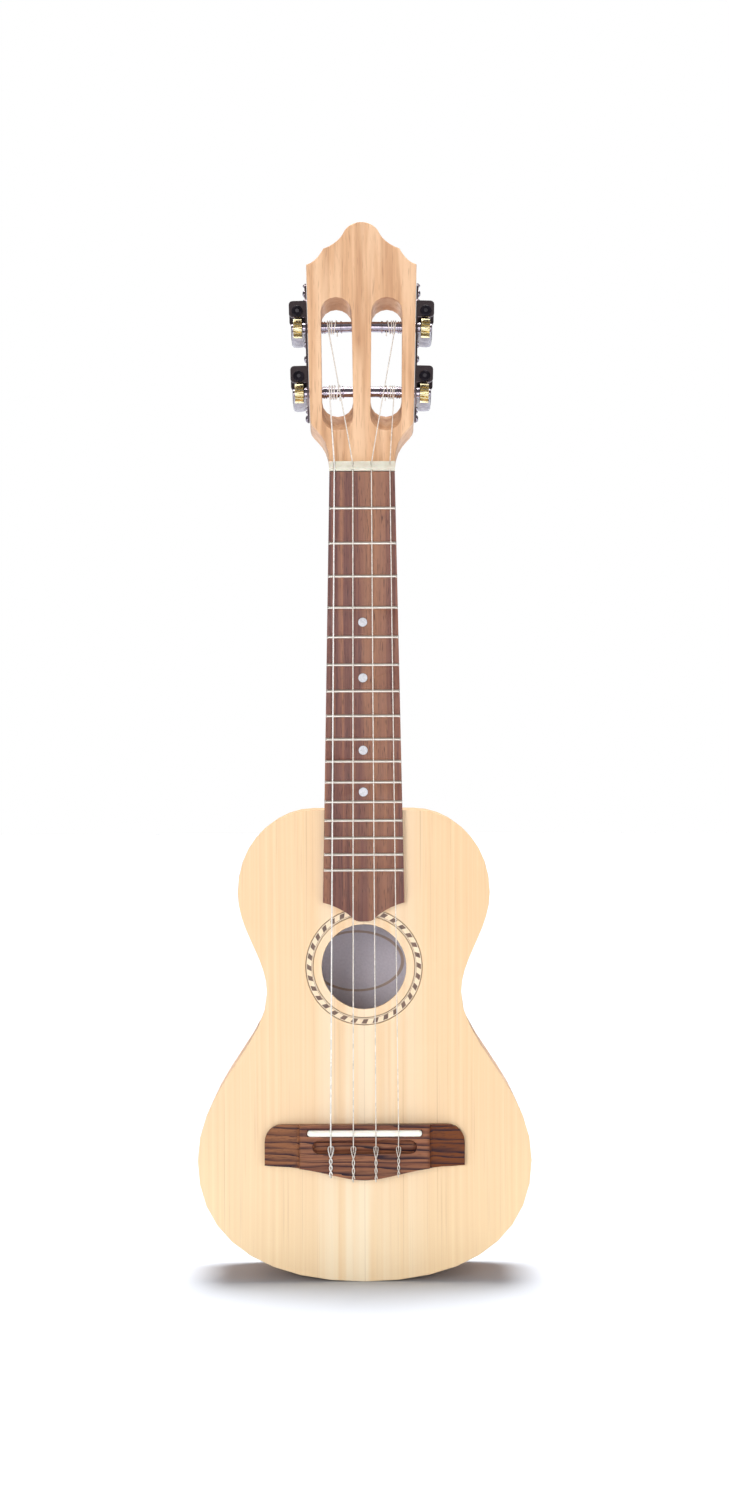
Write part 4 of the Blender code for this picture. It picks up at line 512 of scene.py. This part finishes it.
def metal(name, bright, dull, low, high):
    """A polished or plated metal with fine marks."""
    material, tree, shader, vector = new_finish(name, Metallic=1.0)
    mottle = polish(tree, shader, vector, 320.0, low, high)
    hair = streaks(tree, vector, 6000.0, 200.0, 2.0)
    tint = blend_colours(tree, window(tree, mottle, 0.35, 0.7), bright, dull)
    marked = blend_colours(tree, window(tree, hair, 0.55, 0.75, 0.0, 0.35), tint, dull)
    join(tree, marked, shader, "Base Color")
    bump(tree, shader, hair, 0.06, 0.02 * MM)
    return material


def pearl(name, first, second, third, scale):
    """Pearly plastic or shell with soft swirls."""
    material, tree, shader, vector = new_finish(
        name, Coat_Weight=0.6, Coat_Roughness=0.12, IOR=1.5)
    swirl = noise(tree, vector, scale, 3.0, 0.5, 2.2)
    shell = ramp(tree, swirl, (0.32, first), (0.50, second), (0.68, third))
    join(tree, shell, shader, "Base Color")
    polish(tree, shader, vector, scale * 2, 0.16, 0.3)
    return material


def nylon(name, dull, bright, clear):
    """Pale string plastic that lets some light through."""
    material, tree, shader, vector = new_finish(
        name, IOR=1.53, Transmission_Weight=clear, Coat_Weight=0.3, Coat_Roughness=0.15)
    mottle = polish(tree, shader, vector, 300.0, 0.2, 0.36)
    join(tree, ramp(tree, mottle, (0.3, dull), (0.7, bright)), shader, "Base Color")
    return material


def paper():
    """The bare label: pale paper with a plain oval line."""
    material, tree, shader, vector = new_finish("label_paper", Roughness=0.85)
    apart = parts(tree, vector)
    x, z = (
        maths(tree, "DIVIDE", maths(tree, "SUBTRACT", apart[axis], centre), half)
        for axis, centre, half in zip("XZ", OVAL_CENTRE, OVAL_HALF)
    )
    off = maths(tree, "ABSOLUTE", maths(tree, "SUBTRACT", hypotenuse(tree, x, z), 1.0))
    fibre = noise(tree, vector, 900.0, 4.0)
    base = ramp(tree, fibre, (0.3, (0.86, 0.80, 0.89)), (0.7, (0.95, 0.89, 0.98)))
    line = window(tree, off, 0.028, 0.045, 0.75, 0.0)
    join(tree, blend_colours(tree, line, base, (0.56, 0.37, 0.25)), shader, "Base Color")
    bump(tree, shader, fibre, 0.1)
    return material


def dark_cap():
    """Blackened steel of the worms' front ends."""
    material, tree, shader, vector = new_finish("blackened_steel", Specular_IOR_Level=0.1)
    mottle = polish(tree, shader, vector, 400.0, 0.26, 0.42)
    black = ramp(tree, mottle, (0.3, (0.005, 0.004, 0.006)), (0.7, (0.016, 0.012, 0.017)))
    join(tree, black, shader, "Base Color")
    return material


FINISH = {
    "spruce": spruce(),
    "neck": tan_wood("neck_wood", shade=0.97, red=1.06),
    "head": tan_wood("head_wood", (14.0, 0.0, 0.0), (0.013, 0.0, 0.05), 1.03, 1.05),
    # Painted light: the ribs' wood is made paler than the back's, to offset the shade that the ribs
    # sit in
    "ribs": tan_wood(
        "rib_wood_painted_pale", (0.0, 0.0, -90.0), (0.2, 0.3, 0.1), 1.16, scale=(0.02, 1.0, 1.0), end=0.0),
    "back": tan_wood("back_wood", shift=(0.5, 0.1, 0.3)),
    "blocks": tan_wood("block_wood", (0.0, 90.0, 0.0), (0.1, 0.7, 0.2), 1.05, 1.1),
    "brace": tan_wood("brace_wood", (0.0, 90.0, 0.0), (0.6, 0.2, 0.4), 1.2, 0.95),
    "rosewood": rosewood(),
    "bridge": bridge_rosewood(),
    "rosette": inlay_ring(),
    "nut": bone("nut_bone", (0.65, 0.605, 0.49), 0.28, 0.42, (0.58, 0.53, 0.41)),
    "saddle": bone("saddle_bone", (0.95, 0.92, 0.82), 0.25, 0.4, (0.90, 0.86, 0.74)),
    "nickel": metal("fret_nickel", (0.88, 0.80, 0.69), (0.72, 0.64, 0.54), 0.28, 0.42),
    "chrome": metal("roller_chrome", (0.42, 0.37, 0.41), (0.28, 0.24, 0.28), 0.10, 0.20),
    "steel": metal("plate_steel", (0.16, 0.125, 0.13), (0.085, 0.065, 0.07), 0.26, 0.42),
    "worm": metal("worm_steel", (0.26, 0.24, 0.26), (0.11, 0.10, 0.11), 0.18, 0.34),
    "brass": metal("gear_brass", (0.80, 0.69, 0.42), (0.54, 0.43, 0.23), 0.14, 0.3),
    "button": pearl(
        "button_pearl", (0.215, 0.185, 0.225), (0.29, 0.262, 0.29), (0.40, 0.375, 0.40), 160.0),
    "dot": pearl("dot_pearl", (0.38, 0.37, 0.385), (0.47, 0.455, 0.47), (0.55, 0.52, 0.54), 420.0),
    "clear_nylon": nylon("clear_nylon", (0.74, 0.67, 0.58), (0.83, 0.76, 0.67), 0.12),
    "white_nylon": nylon("white_nylon", (0.80, 0.76, 0.70), (0.90, 0.86, 0.80), 0.1),
    "paper": paper(),
    "cap": dark_cap(),
}


# Piece building

def own_body(node):
    """The body that a CAD node rides on."""
    return NODES[node]["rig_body"]


def dress(node, finish):
    """Gives a CAD node that stays in view its finish."""
    mesh = NODES[node].data
    mesh.materials.clear()
    mesh.materials.append(FINISH[finish])


def merged(node):
    """A node's shape with its loose triangles welded."""
    shape = bmesh.new()
    shape.from_mesh(NODES[node].data)
    bmesh.ops.remove_doubles(shape, verts=shape.verts, dist=1e-6)
    return shape


def add_object(name, data):
    """A new object in the scene."""
    made = bpy.data.objects.new(name, data)
    bpy.context.scene.collection.objects.link(made)
    return made


def add_piece(name, shape, finish, body, smooth, stands_for=()):
    """Puts a new piece on its body, smooth except across edges sharper than that many degrees."""
    mesh = bpy.data.meshes.new(name)
    shape.to_mesh(mesh)
    shape.free()
    mesh.materials.append(FINISH[finish])
    mesh.shade_smooth()
    mesh.set_sharp_from_angle(angle=math.radians(smooth))
    piece = add_object(name, mesh)
    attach(piece, body)
    if stands_for:
        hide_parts(*stands_for)
    return piece


def soften(piece, width):
    """Rounds a piece's sharp edges."""
    step = piece.modifiers.new("edges", "BEVEL")
    step.width = width
    step.segments = EDGE_SEGMENTS
    step.limit_method = "ANGLE"
    step.angle_limit = math.radians(EDGE_DEGREES)
    step.harden_normals = True
    step.miter_outer = "MITER_ARC"


def refined(node, name, finish, width=0.0, smooth=40.0):
    """A welded copy of a node, with edges rounded by that width, which stands for it."""
    shape = merged(node)
    bmesh.ops.dissolve_limit(
        shape, angle_limit=math.radians(0.5), use_dissolve_boundaries=False,
        verts=shape.verts, edges=shape.edges, delimit=set(),
    )
    piece = add_piece(name, shape, finish, own_body(node), smooth, (node,))
    if width:
        soften(piece, width)


def rounded(node, name, finish, levels, crease_degrees):
    """A copy of a node in quads, subdivided so that its curves are smooth, which stands for it."""
    shape = merged(node)
    bmesh.ops.join_triangles(
        shape, faces=shape.faces, angle_face_threshold=math.radians(30.0),
        angle_shape_threshold=math.radians(80.0), cmp_seam=False, cmp_sharp=False, cmp_uvs=False,
        cmp_vcols=False, cmp_materials=False,
    )
    crease = shape.edges.layers.float.new("crease_edge")
    for edge in shape.edges:
        if len(edge.link_faces) == 2 and edge.calc_face_angle(0.0) > math.radians(crease_degrees):
            edge[crease] = 1.0
    piece = add_piece(name, shape, finish, own_body(node), crease_degrees, (node,))
    step = piece.modifiers.new("curves", "SUBSURF")
    step.levels = levels
    step.render_levels = levels
    return piece


def head_matrix():
    """The head's own frame: Z up the head, Y into the wood."""
    return Matrix.Translation((0.0, FACE_Y, NUT_BACK)) @ Matrix.Rotation(-HEAD_TILT, 4, "X")


def bank_matrix(side):
    """The frame of one row of tuners in the head frame."""
    away = Matrix.Translation((side * HEAD_LOWER_CORNER[0], 0.0, HEAD_LOWER_CORNER[1]))
    return head_matrix() @ away @ Matrix.Rotation(side * HEAD_TAPER, 4, "Y")


def post_matrix(number):
    """A post's frame: X outwards along the post, its origin in the head's side face."""
    side, up = POSTS[number]
    rise = (up - HEAD_LOWER_CORNER[1]) / math.cos(HEAD_TAPER)
    spot = Matrix.Translation((0.0, POST_DEPTH, rise))
    outwards = Matrix.Rotation(math.pi if side < 0 else 0.0, 4, "Z")
    return bank_matrix(side) @ spot @ outwards


def lathe(shape, line, matrix, steps, radius=0.0, start=0.0):
    """Turns a line of (radius, height) points in millimetres about the local Z axis.

    The line's points are counted from a radius and a height. The turned points are tagged, so that
    the next form in the same shape leaves them alone.
    """
    verts = [shape.verts.new((radius + out * MM, 0.0, start + rise * MM)) for out, rise in line]
    edges = [shape.edges.new(pair) for pair in zip(verts, verts[1:])]
    bmesh.ops.spin(
        shape, geom=verts + edges, cent=(0.0, 0.0, 0.0), axis=(0.0, 0.0, 1.0),
        angle=2 * math.pi, steps=steps, use_merge=True, use_duplicate=False,
    )
    bmesh.ops.remove_doubles(shape, verts=[v for v in shape.verts if not v.tag], dist=1e-7)
    fresh = [v for v in shape.verts if not v.tag]
    bmesh.ops.transform(shape, matrix=matrix, verts=fresh)
    for vert in fresh:
        vert.tag = True


def outward(shape):
    """Turns a shape's faces outwards."""
    bmesh.ops.recalc_face_normals(shape, faces=shape.faces)
    return shape


# The instrument

def dress_nodes():
    """Finishes for the CAD nodes that stay in view as they are."""
    for node in NODES:
        if node.startswith("fret_"):
            dress(node, "nickel")
        elif node.startswith("dot_"):
            dress(node, "dot")
        elif node.endswith("_brace") or node == "bridge_plate":
            dress(node, "brace")
        elif node.endswith("_block"):
            dress(node, "blocks")
    dress("rosette", "rosette")


def refine_body():
    """The soundboard and back with softly rounded edges, and the ribs."""
    refined("soundboard", "soundboard_face", "spruce", 0.25 * MM)
    refined("back_plate", "back_face", "back", 0.7 * MM)
    for side in ("right", "left"):
        refined(f"rib_{side}", f"bent_rib_{side}", "ribs")


def refine_neck():
    """The neck, the head and the fingerboard."""
    rounded("neck", "carved_neck", "neck", 2, 38.0)
    refined("headstock", "slotted_head", "head", 0.35 * MM, 38.0)
    refined("fingerboard", "rosewood_board", "rosewood", 0.25 * MM)
    refined("nut", "bone_nut", "nut", 0.3 * MM, 30.0)


def refine_bridge():
    """The bridge, and its saddle."""
    refined("bridge", "tie_bridge", "bridge", 0.3 * MM, 35.0)
    add_saddle()


def add_saddle():
    """The saddle: round ends, and a crown that the strings bend over."""
    low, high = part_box("saddle")
    half, middle = (high.z - low.z) / 2, (high.z + low.z) / 2
    levels = [(1.0, high.y)]
    levels += [(share, low.y + SADDLE_SHOULDER * share ** CROWN_POWER) for share in CROWN_SHARES]
    shape = bmesh.new()
    rings = []
    for share, level in levels:
        ring = []
        for side in (1, -1):
            for step in range(END_STEPS + 1):
                turn = math.radians(180 * step / END_STEPS - 90)
                x = high.x - half + share * half * math.cos(turn)
                z = share * half * math.sin(turn)
                ring.append(shape.verts.new((side * x, level, middle + side * z)))
        rings.append(ring)
    for ring, after in zip(rings, rings[1:]):
        for k in range(len(ring)):
            shape.faces.new((ring[k - 1], ring[k], after[k], after[k - 1]))
    shape.faces.new(rings[0])
    shape.faces.new(rings[-1])
    body = own_body("saddle")
    add_piece("bone_saddle", outward(shape), "saddle", body, 60.0, ("saddle",))


def refine_tuners():
    """The tuners' plates with their screws, and their moving pieces."""
    for side, name in ((1, "right"), (-1, "left")):
        refined(f"tuner_plate_{name}", f"plate_{name}", "steel", 0.2 * MM, 35.0)
        add_screws(side, name)
    for number in POSTS:
        refined(f"tuner_{number}_roller", f"roller_{number}", "chrome", 0.2 * MM, 50.0)
        refined(f"tuner_{number}_gear", f"gear_{number}", "brass", 0.1 * MM, 30.0)
        refined(f"tuner_{number}_worm", f"worm_{number}", "worm", 0.0, 50.0)
        rounded(f"tuner_{number}_button", f"button_{number}", "button", 1, 60.0)
        add_tuner_fittings(number)


def add_tuner_fittings(number):
    """A roller's collars and gear screw, and the worm's black front cap."""
    post = post_matrix(number)
    along = post @ Matrix.Rotation(math.pi / 2, 4, "Y")
    shape = bmesh.new()
    for start in COLLAR_STARTS:
        lathe(shape, COLLAR_LINE, along, 40, ROLLER_RADIUS, start)
    lathe(shape, GEAR_SCREW_LINE, along, 28, 0.0, GEAR_FACE)
    body = f"tuner_{number}_roller"
    add_piece(f"roller_fittings_{number}", outward(shape), "chrome", body, 35.0)
    side = POSTS[number][0]
    axis = Matrix.Translation((WORM_OFFSET, 0.0, WORM_RISE))
    front = post @ axis @ Matrix.Rotation(side * math.pi / 2, 4, "X")
    shape = bmesh.new()
    lathe(shape, WORM_CAP_LINE, front, 32, 0.0, WORM_HALF + EAR_THICKNESS + RUNNING_GAP)
    body = f"tuner_{number}_button"
    add_piece(f"worm_cap_{number}", outward(shape), "cap", body, 35.0)


def add_screws(side, name):
    """The plate's screws, and the beads along its edges."""
    out = Matrix.Rotation(side * math.pi / 2, 4, "Y")
    fittings = [(SCREW_LINE, 24, 0.0, rise) for rise in SCREW_RISES]
    fittings += [(BEAD_LINE, 14, across, rise) for across, rise in BEAD_PLACES]
    shape = bmesh.new()
    for line, steps, across, rise in fittings:
        spot = Matrix.Translation((side * PLATE_FACE, POST_DEPTH + across, rise))
        lathe(shape, line, bank_matrix(side) @ spot @ out, steps)
    add_piece(f"plate_screws_{name}", outward(shape), "chrome", "root", 35.0)


def refine_strings():
    """The strings, rounder than their CAD wires and on nearly the same route."""
    for number in POSTS:
        finish = "white_nylon" if number == 4 else "clear_nylon"
        piece = rounded(f"string_{number}", f"nylon_string_{number}", finish, 1, 80.0)
        piece.data.shade_smooth()


def add_label():
    """The paper label on the inside of the leaning back, under the soundhole."""
    shape = bmesh.new()
    bmesh.ops.create_grid(shape, x_segments=1, y_segments=1, size=1.0)
    slope = (NECK_END_DEPTH - TAIL_DEPTH) / BODY_LENGTH
    middle = SOUNDHOLE_Z - LABEL_DROP
    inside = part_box("back_plate")[1].y + slope * middle - BACK_THICKNESS
    upright = Matrix.Rotation(math.pi / 2 - math.atan(slope), 4, "X")
    size = Matrix.Diagonal((*LABEL_HALF, 1.0, 1.0))
    spot = Matrix.Translation((0.0, inside - LABEL_GAP, middle))
    bmesh.ops.transform(shape, matrix=spot @ upright @ size, verts=shape.verts)
    bmesh.ops.solidify(shape, geom=shape.faces[:], thickness=LABEL_THICKNESS)
    add_piece("paper_label", outward(shape), "paper", "root", 30.0)


# The studio

def add_floor():
    """A wide pale floor under the instrument."""
    shape = bmesh.new()
    bmesh.ops.create_circle(shape, cap_ends=True, segments=96, radius=8.0)
    mesh = bpy.data.meshes.new("floor")
    shape.to_mesh(mesh)
    shape.free()
    material, tree, shader, vector = new_finish("studio_floor")
    cloud = noise(tree, vector, 3.0)
    pale = ramp(tree, cloud, (0.3, (0.60, 0.635, 0.69)), (0.7, (0.62, 0.655, 0.71)))
    join(tree, pale, shader, "Base Color")
    join(tree, window(tree, cloud, 0.3, 0.7, 0.8, 0.9), shader, "Roughness")
    mesh.materials.append(material)
    add_object("floor", mesh)


def add_world():
    """A white background, and a dimmer room that only lights and reflects."""
    world = bpy.data.worlds.new("studio")
    bpy.context.scene.world = world
    world.use_nodes = True
    tree = world.node_tree
    background = tree.nodes["Background"]
    up = parts(tree, place(tree, "TexCoord").outputs["Generated"])["Z"]
    room = ramp(tree, window(tree, up, -1.0, 1.0),
                (0.0, (0.8, 0.8, 0.8)), (0.50, (0.36, 0.36, 0.37)), (0.56, (0.15, 0.145, 0.155)),
                (0.72, (0.20, 0.20, 0.21)), (0.90, (0.38, 0.38, 0.39)))
    seen = place(tree, "LightPath").outputs["Is Camera Ray"]
    join(tree, blend_colours(tree, seen, room, ONES), background, "Color")
    background.inputs["Strength"].default_value = 1.0


def add_light(name, spot, size, power):
    """A soft square lamp that looks at the instrument's lower half."""
    lamp = bpy.data.lights.new(name, "AREA")
    lamp.shape = "SQUARE"
    lamp.size = size
    lamp.energy = power
    thing = add_object(name, lamp)
    thing.location = spot
    thing.rotation_euler = (Vector(LAMP_AIM) - Vector(spot)).to_track_quat("-Z", "Y").to_euler()
    thing.visible_camera = False


def add_sun(name, direction, strength, spread):
    """A wide soft light from one direction, the same over the whole floor."""
    lamp = bpy.data.lights.new(name, "SUN")
    lamp.energy = strength
    lamp.angle = math.radians(spread)
    thing = add_object(name, lamp)
    thing.rotation_euler = Vector(direction).to_track_quat("Z", "Y").to_euler()


def add_lights():
    """A key from the front left, a fill, a weak lamp beside the camera, and a wide light above."""
    add_light("key", (-0.75, -1.8, 0.50), 0.8, 14.0)
    add_light("fill", (1.4, -1.6, 0.22), 1.3, 8.0)
    add_light("front", (0.15, -1.95, 0.16), 0.8, 6.2)
    add_sun("overhead", (0.0, 0.25, 1.0), 5.3, 34.0)


def add_camera():
    """The photograph's view: level, square on to the soundboard."""
    data = bpy.data.cameras.new("camera")
    data.sensor_width = SENSOR
    data.lens = SENSOR * (FACE_Y - CAMERA_PLACE[1]) / FRAME_HEIGHT
    camera = add_object("camera", data)
    camera.location = CAMERA_PLACE
    camera.rotation_euler = (math.pi / 2, CAMERA_ROLL, 0.0)
    bpy.context.scene.camera = camera


def main():
    add_camera()
    add_world()
    add_lights()
    add_floor()
    bpy.context.scene.view_settings.view_transform = "Standard"
    dress_nodes()
    refine_body()
    refine_neck()
    refine_bridge()
    refine_tuners()
    refine_strings()
    add_label()


main()
